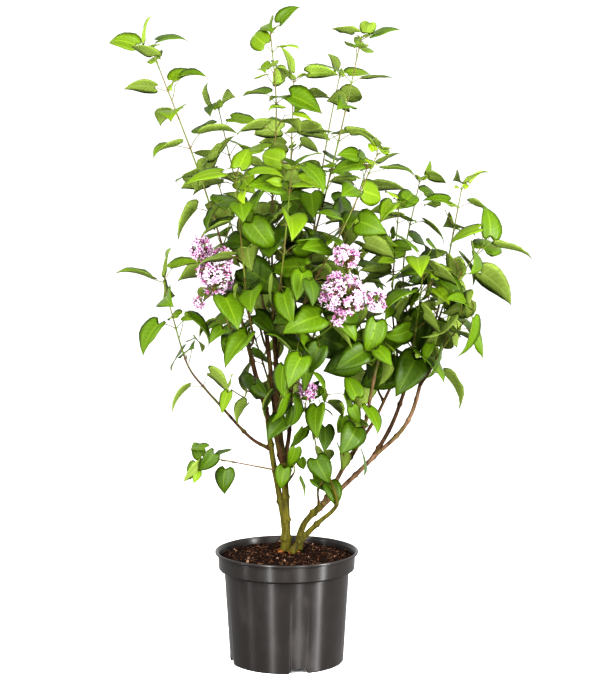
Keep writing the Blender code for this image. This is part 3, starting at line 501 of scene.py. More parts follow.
# Leaves of one shoot, in pairs at right angles to the last one, with twigs at some of them.
# A small leaf ends a shoot that bears no flowers.
def growShoot(name, row, path):
    draw = random.Random(row["seed"])
    leaves = []
    last = growth["lastPairUnderBlossom" if "lobes" in row else "lastPair"]
    twigNodes = [1 + round(k * (row["pairs"] - 2) / max(row["twigs"], 1)) for k in range(row["twigs"])]
    turn = math.radians(row["turn"])
    for node, share in enumerate(pairPlaces(row["pairs"], last)):
        spot, way = readPath(path, share)
        radius, length, droop = (
            float(np.interp(share, (0, 1), pair))
            for pair in (growth["stemRadii"], row["leaf"], row["droop"]))
        found = []
        if node in twigNodes:
            found += growTwig(draw, name, spot + way * growth["twigFoot"], way, turn + math.pi / 4,
                              growth["twigLength"], length * growth["twigLeaf"], droop)
        for half in (0, math.pi):
            found.append(growLeaf(draw, name, spot, way, radius, turn + half, length, droop))
        leaves += [dict(leaf, share=share) for leaf in found if leaf]
        turn += math.pi / 2 + draw.uniform(-growth["nextTurn"], growth["nextTurn"])
    if "lobes" not in row:
        spot, way = readPath(path, growth["budAt"])
        bud = growLeaf(draw, name, spot, way, 0.0005, turn, row["leaf"][1] * growth["budLeaf"],
                       growth["budDroop"])
        leaves += [dict(bud, share=1.0)] if bud else []
    return leaves


# The lobes of a flower head as (centre, radius, half height), and their coarse solids: a stalk
# from the stem's tip to each centre, and a bumpy ball stretched to the lobe's size
def flowerHead(draw, tip, way, lobes):
    found, solids = [], []
    for x, y, z, wide, high in lobes:
        centre = tip + np.array((x, y, z))
        found.append((centre, wide, high))
        path = smoothPath((tip - way * growth["headFoot"], tip, centre), growth["twigStep"])
        radii = np.full(len(path), growth["headStalkRadius"])
        solids.append(testTube(path, radii, 4, tangentsOf(path)[0]))
        shape = bmesh.new()
        bmesh.ops.create_icosphere(shape, subdivisions=2, radius=1)
        for vert in shape.verts:
            bump = 1 + draw.uniform(-growth["headBump"], growth["headBump"])
            vert.co = centre + np.array(vert.co) * (wide, wide, high) * bump
        shape.verts.index_update()
        points = np.array([tuple(v.co) for v in shape.verts])
        solids.append((points, [tuple(v.index for v in f.verts) for f in shape.faces]))
        shape.free()
    return found, solids


# Growing: limbs, stems and flower heads first, then each shoot's leaves
for name, row in limbs.items():
    path = smoothPath(limbPoints(row), growth["limbStep"])
    limbLines[name] = (path, limbRadii(row, path))
    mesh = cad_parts[name].data
    remember(name, np.array([tuple(v.co) for v in mesh.vertices]),
             [tuple(p.vertices) for p in mesh.polygons])
stems = {}
for name, row in shoots.items():
    start, out = stemStart(row["limb"], row["at"], np.array(row["through"][0]))
    points = (start, start + growth["leaveReach"] * out) + row["through"]
    path = smoothPath(points, growth["stemStep"])
    radii = np.linspace(*growth["stemRadii"], len(path))
    remember(name, *testTube(path, radii, growth["stemSides"], out))
    stems[name] = (path, points)
heads = {}
for name, row in shoots.items():
    if "lobes" in row:
        path = stems[name][0]
        way = unit(path[-1] - path[-2])
        heads[name], solids = flowerHead(random.Random(row["seed"]), path[-1], way, row["lobes"])
        for solid in solids:
            remember(name, *solid)
leaves = []
for name, row in shoots.items():
    leaves += growShoot(name, row, stems[name][0])
print("leaves grown", len(leaves))


# Finer growth inside the same reach: at the tip of each tall shoot a young pair, and along every
# shoot short spurs with small leaves of their own
finer = dict(seed=900, tuftAbove=0.80, tuft=((0.985, 0.42),), tuftDroop=-35, spurEvery=0.3,
             spurTop=0.86, spurForward=(0.8, 1.4), spurLength=(0.018, 0.034), spurLeaf=(0.52, 0.7),
             spurRadii=(0.0009, 0.0006), spurLift=10, spurTurn=1.1)


# True when the leaf's tip lies inside the solids' box, by the margin
def insideFrame(leaf, margin=0.0):
    tip = leaf["joint"] + leaf["axis"] * leaf["size"]
    low, high = (np.array(corner) for corner in cadBox)
    return (tip > low + margin).all() and (tip < high - margin).all()


def fillOut(name, row, path, draw):
    found = []
    turn = math.radians(row["turn"]) + 0.8
    if path[-1][2] > finer["tuftAbove"] and "lobes" not in row:
        for share, part in finer["tuft"]:
            spot, way = readPath(path, share)
            for half in (0, math.pi):
                leaf = growLeaf(draw, name, spot, way, 0.0008, turn + half,
                                row["leaf"][1] * part, finer["tuftDroop"])
                found += [dict(leaf, share=1.0)] if leaf else []
            turn += math.pi / 2
    for share in pairPlaces(row["pairs"], finer["spurTop"]):
        if draw.random() > finer["spurEvery"]:
            continue
        spot, way = readPath(path, share)
        out = unit(bearingOf(way, draw.uniform(0, 6.28)) + way * draw.uniform(*finer["spurForward"]))
        end = spot + out * draw.uniform(*finer["spurLength"])
        line = smoothPath((spot, 0.5 * (spot + end), end + way * 0.004), 0.01)
        twigLines.append((line, np.linspace(*finer["spurRadii"], len(line))))
        length = float(np.interp(share, (0, 1), row["leaf"]))
        droop = float(np.interp(share, (0, 1), row["droop"]))
        for quarter in (0, math.pi):
            leaf = growLeaf(draw, name, line[-1], unit(line[-1] - line[-2]), 0.0005, quarter + turn,
                            length * draw.uniform(*finer["spurLeaf"]), droop - finer["spurLift"])
            found += [dict(leaf, share=min(1, share + 0.2))] if leaf else []
        turn += finer["spurTurn"]
    return [leaf for leaf in found if insideFrame(leaf)]


for name, row in shoots.items():
    leaves += fillOut(name, row, stems[name][0], random.Random(finer["seed"] + row["seed"]))
print("with finer growth", len(leaves))


# Meshes from arrays

# Faces of a grid of rows by columns as quads, closed round when wrap is true
def gridQuads(rows, columns, wrap=False):
    across = np.arange(columns if wrap else columns - 1)
    a = np.arange(rows - 1)[:, None] * columns + across
    b = np.arange(rows - 1)[:, None] * columns + (across + 1) % columns
    return np.stack([a, b, b + columns, a + columns], -1).reshape(-1, 4)


# Fans that close the first and the last ring of such a grid
def fanCaps(rows, columns):
    k = np.arange(1, columns - 1)
    low = np.stack([0 * k, k + 1, k], -1)
    return np.concatenate([low, low[:, ::-1] + (rows - 1) * columns])


# One mesh from points, quads and triangles, with a UV pair and a finish number where given
def makePiece(name, points, quads, tris=None, uv=None, finishes=(), finishOf=None, smooth=True):
    points = np.ascontiguousarray(points, np.float32).reshape(-1, 3)
    tris = np.zeros((0, 3), int) if tris is None else np.asarray(tris).reshape(-1, 3)
    quads = np.asarray(quads).reshape(-1, 4)
    corners = np.concatenate([quads.ravel(), tris.ravel()]).astype(np.int32)
    totals = np.concatenate([np.full(len(quads), 4), np.full(len(tris), 3)])
    mesh = bpy.data.meshes.new(name)
    mesh.vertices.add(len(points))
    mesh.vertices.foreach_set("co", points.ravel())
    mesh.loops.add(len(corners))
    mesh.loops.foreach_set("vertex_index", corners)
    mesh.polygons.add(len(totals))
    starts = np.concatenate([[0], np.cumsum(totals)[:-1]]).astype(np.int32)
    mesh.polygons.foreach_set("loop_start", starts)
    for made in finishes:
        mesh.materials.append(made)
    if finishOf is not None:
        mesh.polygons.foreach_set("material_index", np.asarray(finishOf, np.int32))
    mesh.polygons.foreach_set("use_smooth", np.full(len(totals), smooth))
    if uv is not None:
        layer = mesh.uv_layers.new(name="blade")
        layer.data.foreach_set("uv", np.asarray(uv, np.float32).reshape(-1, 2)[corners].ravel())
    mesh.update(calc_edges=True)
    mesh.validate()
    piece = bpy.data.objects.new(name, mesh)
    bpy.context.scene.collection.objects.link(piece)
    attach(piece, "root")
    return piece


# Many tubes at once. paths is (tubes, rings, 3), radii (tubes, rings) or (tubes, rings, sides):
# point = line + radius * (cos a * side + sin a * other), side square to the line and nearest
# to the given one; a fan of triangles closes each end
def tubesOf(paths, radii, sides, across=(0.31, 0.95, 0.05)):
    paths = np.asarray(paths, float)
    count, rings = paths.shape[:2]
    way = unit(np.gradient(paths, axis=1))
    across = np.broadcast_to(np.asarray(across, float), (count, 3))[:, None, :]
    side = unit(across - way * np.sum(across * way, axis=-1, keepdims=True))
    other = np.cross(way, side)
    angle = anglesOf(sides)
    radii = np.asarray(radii, float)
    radii = radii[:, :, None] if radii.ndim == 2 else radii
    turn = (np.cos(angle)[:, None] * side[:, :, None, :]
            + np.sin(angle)[:, None] * other[:, :, None, :])
    points = paths[:, :, None, :] + radii[..., None] * turn
    step = np.arange(count)[:, None, None] * rings * sides
    quads = gridQuads(rings, sides, wrap=True) + step
    tris = fanCaps(rings, sides) + step
    return points.reshape(-1, 3), quads.reshape(-1, 4), tris.reshape(-1, 3)


# Several sets of (points, quads, tris) as one, and the number of the set each face is from
def merged(sets):
    points, quads, tris = zip(*sets)
    bases = np.cumsum([0] + [len(p) for p in points])
    numbers = np.arange(len(points))
    fromSet = [np.repeat(numbers, [len(part) for part in parts]) for parts in (quads, tris)]
    quads, tris = (np.concatenate([part + base for part, base in zip(parts, bases)])
                   for parts in (quads, tris))
    return np.concatenate(points), quads, tris, np.concatenate(fromSet)


# Smooth noise in the range -1 to 1: a sum of sines whose ways and phases come from the seed,
# each sine's argument bent by the one before it
def ripple(x, y, z, scale, seed, waves=6):
    draw = np.random.default_rng(seed)
    total = 0
    bend = 0
    for _ in range(waves):
        way = unit(draw.normal(size=3)) * scale * draw.uniform(0.6, 1.7)
        value = np.sin(x * way[0] + y * way[1] + z * way[2] + draw.uniform(0, 6.28) + 1.3 * bend)
        bend = value
        total = total + value
    return total / waves * 1.6


# Finishes. Numbers, colours and other nodes' outputs all serve as a node's inputs, and a node
# joins the tree of what it takes.

def newFinish(name, roughness, **sockets):
    made = bpy.data.materials.new(name)
    made.use_nodes = True
    shader = made.node_tree.nodes["Principled BSDF"]
    shader.inputs["Roughness"].default_value = roughness
    for key, value in sockets.items():
        shader.inputs[key.replace("_", " ")].default_value = value
    return made, shader


def addNode(tree, kind, inputs=None, **settings):
    node = tree.nodes.new(kind)
    for key, value in settings.items():
        setattr(node, key, value)
    for key, value in (inputs or {}).items():
        if isinstance(value, bpy.types.NodeSocket):
            tree.links.new(value, node.inputs[key])
        else:
            node.inputs[key].default_value = value
    return node


def feed(shader, key, output):
    shader.id_data.links.new(output, shader.inputs[key])


def calc(operation, first, second=0.0):
    inputs = {0: first, 1: second}
    return addNode(first.id_data, "ShaderNodeMath", inputs, operation=operation).outputs[0]


def times(first, second):
    return calc("MULTIPLY", first, second)


def plus(first, second):
    return calc("ADD", first, second)


def minus(first, second):
    return calc("SUBTRACT", first, second)


def awayFrom(middle, value):
    return calc("ABSOLUTE", minus(value, middle))


def ranged(value, low, high, toLow=0.0, toHigh=1.0):
    return addNode(value.id_data, "ShaderNodeMapRange", {
        "Value": value, "From Min": low, "From Max": high, "To Min": toLow, "To Max": toHigh},
        interpolation_type="SMOOTHSTEP").outputs["Result"]


def mixed(factor, first, second):
    colours = [colour if isinstance(colour, bpy.types.NodeSocket) else (*colour, 1)
               for colour in (first, second)]
    inputs = {0: factor, 6: colours[0], 7: colours[1]}
    return addNode(factor.id_data, "ShaderNodeMix", inputs, data_type="RGBA").outputs[2]


def speckle(shader, scale, detail=3.0, stretch=(1, 1, 1)):
    tree = shader.id_data
    place = addNode(tree, "ShaderNodeTexCoord").outputs["Object"]
    turned = addNode(tree, "ShaderNodeMapping", {"Vector": place, "Scale": stretch})
    return addNode(tree, "ShaderNodeTexNoise", {
        "Vector": turned.outputs[0], "Scale": scale, "Detail": detail}).outputs["Fac"]


def addBump(shader, height, strength, distance):
    inputs = {"Height": height, "Strength": strength, "Distance": distance}
    feed(shader, "Normal", addNode(shader.id_data, "ShaderNodeBump", inputs).outputs[0])


def dimmed(colour, share):
    return tuple(share * c for c in colour)


# A leaf: plain base colour by spray, a paler midrib and side veins on the blade's own UV,
# a darker margin and tip, and a fine mottle. Side veins, as strong as side says, lie where
# veins (along - slant fromRib^1.25) is half a step.
leafTints = {
    "leafDark": dict(base=(0.022, 0.045, 0.001), vein=(0.044, 0.074, 0.003), rough=0.40, side=0.42),
    "leafMid": dict(base=(0.040, 0.077, 0.001), vein=(0.072, 0.118, 0.005), rough=0.42, side=0.42),
    "leafFresh": dict(base=(0.068, 0.116, 0.002), vein=(0.110, 0.162, 0.009), rough=0.44, side=0.35),
    "leafYoung": dict(base=(0.115, 0.178, 0.005), vein=(0.165, 0.230, 0.018), rough=0.46, side=0.15),
    "leafUnder": dict(base=(0.098, 0.140, 0.020), vein=(0.145, 0.190, 0.046), rough=0.6, side=0.6),
    "leafYoungUnder": dict(base=(0.135, 0.200, 0.024), vein=(0.175, 0.245, 0.042), rough=0.6, side=0.3),
}
veinLook = dict(veins=8.5, slant=0.26, rib=(0.03, 0.11), line=(0.05, 0.11), shown=0.8, mottle=0.35,
                margin=(0.90, 1.0, 0.0, 0.45), tip=(0.90, 0.99, 0.0, 0.7), edge=(0.3, 0.28, 0.02),
                puff=0.8, depth=0.0004)


def leafFinish(name, base, vein, rough, side):
    look = veinLook
    made, shader = newFinish(name, rough, Specular_IOR_Level=0.10)
    uv = addNode(shader.id_data, "ShaderNodeUVMap", uv_map="blade").outputs[0]
    across, along, _ = addNode(shader.id_data, "ShaderNodeSeparateXYZ", {0: uv}).outputs
    fromRib = times(awayFrom(0.5, across), 2.0)
    rib = ranged(fromRib, *look["rib"], 1.0, 0.0)
    slant = times(calc("POWER", fromRib, 1.25), look["slant"])
    step = awayFrom(0.5, calc("FRACT", times(minus(along, slant), look["veins"])))
    line = ranged(step, *look["line"], 1.0, 0.0)
    line = times(line, ranged(fromRib, 0.7, 1.0, side, 0.25 * side))
    mottle = speckle(shader, 55.0, 4.0)
    shade = mixed(ranged(mottle, 0.3, 0.7, 0.0, look["mottle"]), base, dimmed(base, 0.72))
    colour = mixed(times(calc("MAXIMUM", rib, line), look["shown"]), shade, vein)
    margin = calc("MAXIMUM", ranged(fromRib, *look["margin"]), ranged(along, *look["tip"]))
    feed(shader, "Base Color", mixed(margin, colour, dimmed(look["edge"], base[1])))
    height = minus(times(step, look["puff"]), times(rib, look["puff"]))
    addBump(shader, plus(height, times(mottle, 0.2)), 0.8 * side, look["depth"])
    return made


# Bark: long streaks and lenticels over two tones, with moss or lichen dusted on where it grows
barkTints = {
    "moss": dict(low=(0.013, 0.011, 0.0006), high=(0.046, 0.040, 0.002), dust=(0.075, 0.063, 0.012)),
    "brown": dict(low=(0.013, 0.005, 0.002), high=(0.042, 0.020, 0.008), dust=(0.08, 0.056, 0.026)),
    "pink": dict(low=(0.030, 0.014, 0.007), high=(0.092, 0.054, 0.029), dust=(0.15, 0.11, 0.063)),
}


def barkFinish(name, low, high, dust):
    made, shader = newFinish(name, 0.78, Specular_IOR_Level=0.1)
    streaks = speckle(shader, 160.0, 6.0, (1, 1, 0.16))
    flecks = speckle(shader, 420.0, 2.0, (1, 1, 0.8))
    patches = speckle(shader, 38.0, 4.0)
    colour = mixed(ranged(streaks, 0.32, 0.66), low, high)
    colour = mixed(ranged(flecks, 0.60, 0.74, 0.0, 0.75), colour, dust)
    colour = mixed(ranged(patches, 0.50, 0.72, 0.0, 0.7), colour, barkTints["moss"]["high"])
    feed(shader, "Base Color", colour)
    feed(shader, "Roughness", ranged(flecks, 0.2, 0.8, 0.66, 0.9))
    addBump(shader, plus(streaks, times(flecks, 0.5)), 0.6, 0.0012)
    return made


# Green stalks and shoots, flushed where the noise is high
def stalkFinish(name, base, flush, amount):
    made, shader = newFinish(name, 0.5, Specular_IOR_Level=0.15)
    noise = speckle(shader, 45.0, 3.0)
    fine = speckle(shader, 600.0, 2.0, (1, 1, 0.3))
    colour = mixed(ranged(noise, 0.4, 0.62, 0.0, amount), base, flush)
    feed(shader, "Base Color", mixed(ranged(fine, 0.5, 0.75, 0.0, 0.3), colour, dimmed(base, 0.7)))
    addBump(shader, fine, 0.35, 0.0006)
    return made


# Petals: two tones in fine noise, and a little light let through
def petalFinish(name, base, edge):
    made, shader = newFinish(name, 0.55, Specular_IOR_Level=0.15, Subsurface_Weight=0.3,
                             Subsurface_Radius=(1.0, 0.7, 0.9), Subsurface_Scale=0.0015)
    feed(shader, "Base Color", mixed(ranged(speckle(shader, 260.0, 3.0), 0.35, 0.68), base, edge))
    addBump(shader, speckle(shader, 900.0, 2.0), 0.25, 0.0005)
    return made


# Moulded plastic: faint tool marks round the wall, and dust and scuffs in noise patches over it
def potFinish():
    made, shader = newFinish("potPlastic", 0.35, Specular_IOR_Level=0.22, Anisotropic=0.95,
                             Anisotropic_Rotation=0.25)
    around = addNode(shader.id_data, "ShaderNodeTangent", direction_type="RADIAL", axis="Z")
    feed(shader, "Tangent", around.outputs[0])
    scuffs = speckle(shader, 26.0, 6.0, (1, 1, 0.5))
    grain = speckle(shader, 900.0, 2.0)
    marks = speckle(shader, 60.0, 3.0, (0.15, 0.15, 9.0))
    base = mixed(ranged(scuffs, 0.45, 0.75), (0.0098, 0.0083, 0.0076), (0.015, 0.013, 0.012))
    dust = times(ranged(scuffs, 0.55, 0.8), ranged(grain, 0.45, 0.65))
    feed(shader, "Base Color", mixed(times(dust, 0.4), base, (0.050, 0.045, 0.041)))
    feed(shader, "Roughness", plus(ranged(scuffs, 0.35, 0.8, 0.33, 0.42), times(dust, 0.25)))
    addBump(shader, plus(times(grain, 0.5), marks), 0.12, 0.0006)
    return made


# Soil and roots: two tones in coarse noise, with paler grit in fine noise
def soilFinish(name, low, high):
    made, shader = newFinish(name, 0.92, Specular_IOR_Level=0.05)
    coarse = speckle(shader, 210.0, 6.0)
    fine = speckle(shader, 900.0, 3.0)
    colour = mixed(ranged(coarse, 0.35, 0.68), low, high)
    feed(shader, "Base Color", mixed(ranged(fine, 0.60, 0.75, 0.0, 0.5), colour, dimmed(high, 2.6)))
    addBump(shader, plus(coarse, times(fine, 0.4)), 0.9, 0.0025)
    return made


leafFinishes = [leafFinish(name, **row) for name, row in leafTints.items()]
barkFinishes = {name: barkFinish("bark_" + name, **row) for name, row in barkTints.items()}
stalkGreen = stalkFinish("stalkGreen", (0.060, 0.088, 0.008), (0.090, 0.040, 0.014), 0.8)
shootGreen = stalkFinish("shootGreen", (0.055, 0.080, 0.006), (0.070, 0.036, 0.012), 0.7)
shootBrown = stalkFinish("shootBrown", (0.040, 0.020, 0.006), (0.050, 0.055, 0.007), 0.8)
print("finishes made")


# Limbs: bark carried along each limb's line. The radius is the limb's own, times
# 1 + ridges that run along it + lumps + a knot pair and a scar ring at every node.
barkLook = dict(seed=40, step=0.0022, sides=20, ridge=0.045, lumps=0.06, knot=0.50,
                scar=0.06, nodeGap=(0.034, 0.058), knotReach=0.0040, collar=0.45,
                collarReach=0.007, blend=0.02)


def limbSkin(row, seed):
    points = [np.asarray(p, float) for p in limbPoints(row)]
    path = smoothPath(points, barkLook["step"])
    radii = limbRadii(row, path)
    distance = np.linspace(0, lengthOf(path), len(path))[:, None]
    angle = anglesOf(barkLook["sides"])[None, :]
    x, y = np.cos(angle), np.sin(angle)
    ridges = ripple(3.2 * x, 3.2 * y, distance * 22, 1.0, seed)
    lumps = ripple(x, y, distance * 60, 1.0, seed + 1)
    relief = 1 + barkLook["ridge"] * ridges + barkLook["lumps"] * lumps
    draw = random.Random(seed)
    node = draw.uniform(0.015, 0.03)
    turn = draw.uniform(0, 3.14)
    while node < distance[-1, 0] - 0.008:
        nearRing = np.exp(-((distance - node) / (0.45 * barkLook["knotReach"])) ** 2)
        nearKnot = np.exp(-((distance - node - 0.001) / barkLook["knotReach"]) ** 2)
        faced = np.exp(3.2 * (np.abs(np.cos(angle - turn)) - 1))
        relief = relief + barkLook["scar"] * nearRing + barkLook["knot"] * nearKnot * faced
        node += draw.uniform(*barkLook["nodeGap"])
        turn += math.pi / 2
    if row["limb"] is not None:
        if row["at"] == 1:
            thick = limbLines[row["limb"]][1][-1]
            radii = radii + (thick - radii[0]) * np.exp(-distance[:, 0] / barkLook["blend"])
        else:
            radii = radii * (1 + barkLook["collar"] * np.exp(
                -np.abs(distance[:, 0] - limbLines[row["limb"]][1][0]) / barkLook["collarReach"]))
    return tubesOf(path[None], (radii[:, None] * relief)[None], barkLook["sides"])


for bark in barkTints:
    members = [name for name, row in limbs.items() if row["bark"] == bark]
    skins = [limbSkin(limbs[name], barkLook["seed"] + list(limbs).index(name)) for name in members]
    points, quads, tris, _ = merged(skins)
    piece = makePiece("bark_" + bark, points, quads, tris, finishes=[barkFinishes[bark]])
    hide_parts(*members)
print("bark done")


# Shoots: brown and woody at the foot, green towards the tip, with a swelling at every pair
shootLook = dict(step=0.005, sides=8, swell=0.32, swellReach=0.0035, greenFrom=0.45, blend=0.03,
                 collar=0.5, collarReach=0.005, twigStep=0.006, twigSides=6)


def shootTube(name, row):
    line = smoothPath(stems[name][1], shootLook["step"])
    distance = np.linspace(0, lengthOf(line), len(line))
    share = distance / distance[-1]
    radii = np.interp(share, (0, 1), growth["stemRadii"])
    if row["at"] == 1:
        thick = limbLines[row["limb"]][1][-1]
        radii = radii + (thick - radii[0]) * np.exp(-distance / shootLook["blend"])
    else:
        radii = radii * (1 + shootLook["collar"] * np.exp(-distance / shootLook["collarReach"]))
    last = growth["lastPairUnderBlossom" if "lobes" in row else "lastPair"]
    for place in pairPlaces(row["pairs"], last):
        near = np.exp(-((share - place) * distance[-1] / shootLook["swellReach"]) ** 2)
        radii = radii * (1 + shootLook["swell"] * near)
    back = 1.0 if row["at"] == 1 else 2.5
    inner = line[0] - unit(line[1] - line[0]) * back * growth["stemRadii"][0]
    line = np.vstack([inner, line])
    radii = np.concatenate([[radii[0]], radii])
    points, quads, tris = tubesOf(line[None], radii[None], shootLook["sides"])
    rows = np.concatenate([quads, np.repeat(tris, 2, axis=1)[:, :4]]).min(axis=1)
    green = rows // shootLook["sides"] > shootLook["greenFrom"] * len(line)
    return (points, quads, tris), green.astype(int)


tubes, greens = zip(*[shootTube(name, row) for name, row in shoots.items()])
points, quads, tris, _ = merged(tubes)
isGreen = np.concatenate([g[:len(t[1])] for g, t in zip(greens, tubes)]
                         + [g[len(t[1]):] for g, t in zip(greens, tubes)])
piece = makePiece("shootStems", points, quads, tris, finishes=[shootBrown, shootGreen],
                  finishOf=isGreen)
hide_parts(*shoots)

fine = []
for path, radii in twigLines:
    line = smoothPath(path, shootLook["twigStep"])
    even = np.interp(np.linspace(0, 1, len(line)), (0, 1), (radii[0], radii[-1]))
    fine.append(tubesOf(line[None], even[None], shootLook["twigSides"]))
points, quads, tris, _ = merged(fine)
piece = makePiece("fineTwigs", points, quads, tris, finishes=[shootGreen])
print("shoots done")


# Leaves. With t along the blade and s across it (-1 to 1):
# half width = wide * 2.69 (1 - t)^1.25 (t + 0.1)^0.6, widest a quarter of the way up
# along = t - lobe (1 - t)^3 sin(0.75 pi |s|), which gives the heart's two lobes
# lift = half width * (1.25 |s| sin fold - belly s^2 + wave s^2 sin(waves t + phase))
#        - 1.6 tip (t - tipFrom)^2 past tipFrom
# and the whole is bent on a circle by curl, as the solid is
leafLook = dict(rows=9, across=(-1, -0.55, 0, 0.55, 1), wide=0.445, narrowing=0.09, lobe=0.13,
                thin=0.0045, rib=0.010, belly=(0.05, 0.30), wave=(0.01, 0.07), waves=13,
                tip=(0.05, 0.45), tipFrom=0.62, sway=(-0.10, 0.10), widths=(0.90, 1.08),
                length=0.975, seed=60)


# Faces of a blade's upper and lower sheet. They share the rim, so the blade is closed.
def leafGrid():
    rows, columns = leafLook["rows"], len(leafLook["across"])
    top = np.arange(rows * columns).reshape(rows, columns)
    under = top.copy()
    inner = (rows - 2) * (columns - 2)
    under[1:-1, 1:-1] = rows * columns + np.arange(inner).reshape(rows - 2, columns - 2)
    faces = []
    for grid, order in ((top, (0, 1, 2, 3)), (under, (0, 3, 2, 1))):  # same diagonal, so no cross
        corners = np.stack([grid[:-1, :-1], grid[:-1, 1:], grid[1:, 1:], grid[1:, :-1]], -1)
        faces.append(corners.reshape(-1, 4)[:, order])
    return faces, rows * columns + inner


def leafSheets(found, seed):
    draw = np.random.default_rng(seed)
    count = len(found)
    take = {key: np.array([leaf[key] for leaf in found]) for key in
            ("joint", "axis", "normal", "size", "fold", "curl", "share")}
    side = unit(np.cross(take["axis"], take["normal"]))
    even = np.linspace(0, 1, leafLook["rows"])
    t = (0.4 * even + 0.3 * (1 - np.cos(math.pi * even)))[None, :, None]  # closer at both ends
    s = np.array(leafLook["across"])[None, None, :]

    def spread(pair):
        return draw.uniform(*pair, count)[:, None, None]

    half = 2.69 * (1 - t) ** 1.25 * (t + 0.1) ** 0.6
    wide = leafLook["wide"] - leafLook["narrowing"] * take["share"][:, None, None]
    half = (wide * half + 0.004) * spread(leafLook["widths"])
    along = t - leafLook["lobe"] * (1 - t) ** 3 * np.sin(0.75 * math.pi * np.abs(s))
    fold = take["fold"][:, None, None]
    curl = take["curl"][:, None, None]
    belly, wave, tip = spread(leafLook["belly"]), spread(leafLook["wave"]), spread(leafLook["tip"])
    waves = wave * s**2 * np.sin(leafLook["waves"] * t + spread((0, 6.28)) + 1.6 * np.sign(s))
    lift = half * (np.abs(s) * np.sin(fold) * 1.25 - belly * s**2 + waves)
    lift = lift - 1.6 * tip * np.clip(t - leafLook["tipFrom"], 0, 1) ** 2
    sway = spread(leafLook["sway"]) * t**2
    bend = curl * along
    size = leafLook["length"] * take["size"][:, None, None, None]
    axis, normal, side, joint = (
        v[:, None, None, :] for v in (take["axis"], take["normal"], side, take["joint"]))
    up = normal * np.cos(bend)[..., None] + axis * np.sin(bend)[..., None]
    spine = (axis * np.sin(bend)[..., None] - normal * (1 - np.cos(bend))[..., None]) / curl[..., None]
    across = half * s * np.cos(fold) + sway
    sheet = joint + size * (spine + across[..., None] * side + lift[..., None] * up)
    thin = leafLook["thin"] + 0 * s
    below = thin + leafLook["rib"] * (s == 0) * (1 - 0.75 * t)
    top = sheet + 0.5 * size * thin[..., None] * up * (np.abs(s) < 1)[..., None]
    bottom = sheet - size * below[..., None] * up
    points = np.concatenate([top.reshape(count, -1, 3),
                             bottom[:, 1:-1, 1:-1].reshape(count, -1, 3)], axis=1)
    uv = np.stack(np.broadcast_arrays((s + 1) / 2, t), -1)[0]
    uv = np.concatenate([uv.reshape(-1, 2), uv[1:-1, 1:-1].reshape(-1, 2)])
    (over, under), size = leafGrid()
    faces = np.concatenate([over, under])
    quads = faces[None] + np.arange(count)[:, None, None] * size
    return points.reshape(-1, 3), quads.reshape(-1, 4), np.tile(uv, (count, 1)), len(over)


# Every leaf turns a little on its stalk: about its normal, then its axis, then its side, by
# v cos a + (k x v) sin a for each square pair of k and v. Those that hang turn further.
variety = dict(seed=78, margin=0.006, turns=(0.30, 0.40, 0.25), hanging=(0.55, 0.80, 0.35))


def turned(first, second, angle):
    return (first * math.cos(angle) + second * math.sin(angle),
            second * math.cos(angle) - first * math.sin(angle))


# The leaf turned by three random angles, or left alone where its tip would leave the box
def varied(leaf, draw):
    axis, normal = unit(leaf["axis"]), unit(leaf["normal"])
    side = np.cross(axis, normal)
    hang = max(0.0, -axis[2]) ** 0.5
    yaw, roll, pitch = [draw.uniform(-1, 1) * (turn + hang * more)
                        for turn, more in zip(variety["turns"], variety["hanging"])]
    axis, side = turned(axis, side, yaw)
    side, normal = turned(side, normal, roll)
    axis, normal = turned(axis, normal, pitch)
    turnedLeaf = dict(leaf, axis=axis, normal=normal)
    return turnedLeaf if insideFrame(turnedLeaf, variety["margin"]) else leaf


varietyDraw = random.Random(variety["seed"])
leaves = [varied(leaf, varietyDraw) for leaf in leaves]


# Which tint a leaf gets: older and lower ones dark, tips and tufts young. The four steps of
# youth are the first four leaf tints, and the last two are the undersides.
youth = dict(seed=77, lowest=0.35, over=0.75, along=0.55, spread=0.28, small=0.042, smallExtra=0.3,
             steps=(0.42, 0.84, 1.16))


def tintOf(leaf, draw):
    height = (leaf["joint"][2] - youth["lowest"]) / youth["over"]
    young = youth["along"] * leaf["share"] + (1 - youth["along"]) * height
    young += draw.uniform(-youth["spread"], youth["spread"])
    if leaf["size"] < youth["small"]:
        young += youth["smallExtra"]
    return int(np.digitize(young, youth["steps"]))


tintDraw = random.Random(youth["seed"])
for leaf in leaves:
    leaf["tint"] = tintOf(leaf, tintDraw)
for number, spray in enumerate(("left", "centre", "right", "outer", "back")):
    found = [leaf for leaf in leaves if shoots[leaf["owner"]]["spray"] == spray]
    points, quads, uv, tops = leafSheets(found, leafLook["seed"] + number)
    tint = np.array([leaf["tint"] for leaf in found])[:, None]
    finishOf = np.concatenate([np.repeat(tint, tops, axis=1),
                               np.repeat(np.where(tint == 3, 5, 4), tops, axis=1)], axis=1)
    piece = makePiece("leaves_" + spray, points, quads, uv=uv, finishes=leafFinishes,
                      finishOf=finishOf.ravel())
    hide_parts(*[name for name, row in shoots.items() if row["spray"] == spray])
    print("leaves", spray, len(found))


# Stalks: from the shoot to the blade, on an arc that leaves along the stalk and meets the
# blade's own way
stalkLook = dict(rings=6, sides=5, sunk=0.0012, elbow=0.42, bladeShare=0.65, fullAt=0.08,
                 thick=(0.45, 1.1), radii=(0.0013, 0.0009, 0.0008), radiiAt=(0, 0.12, 1))


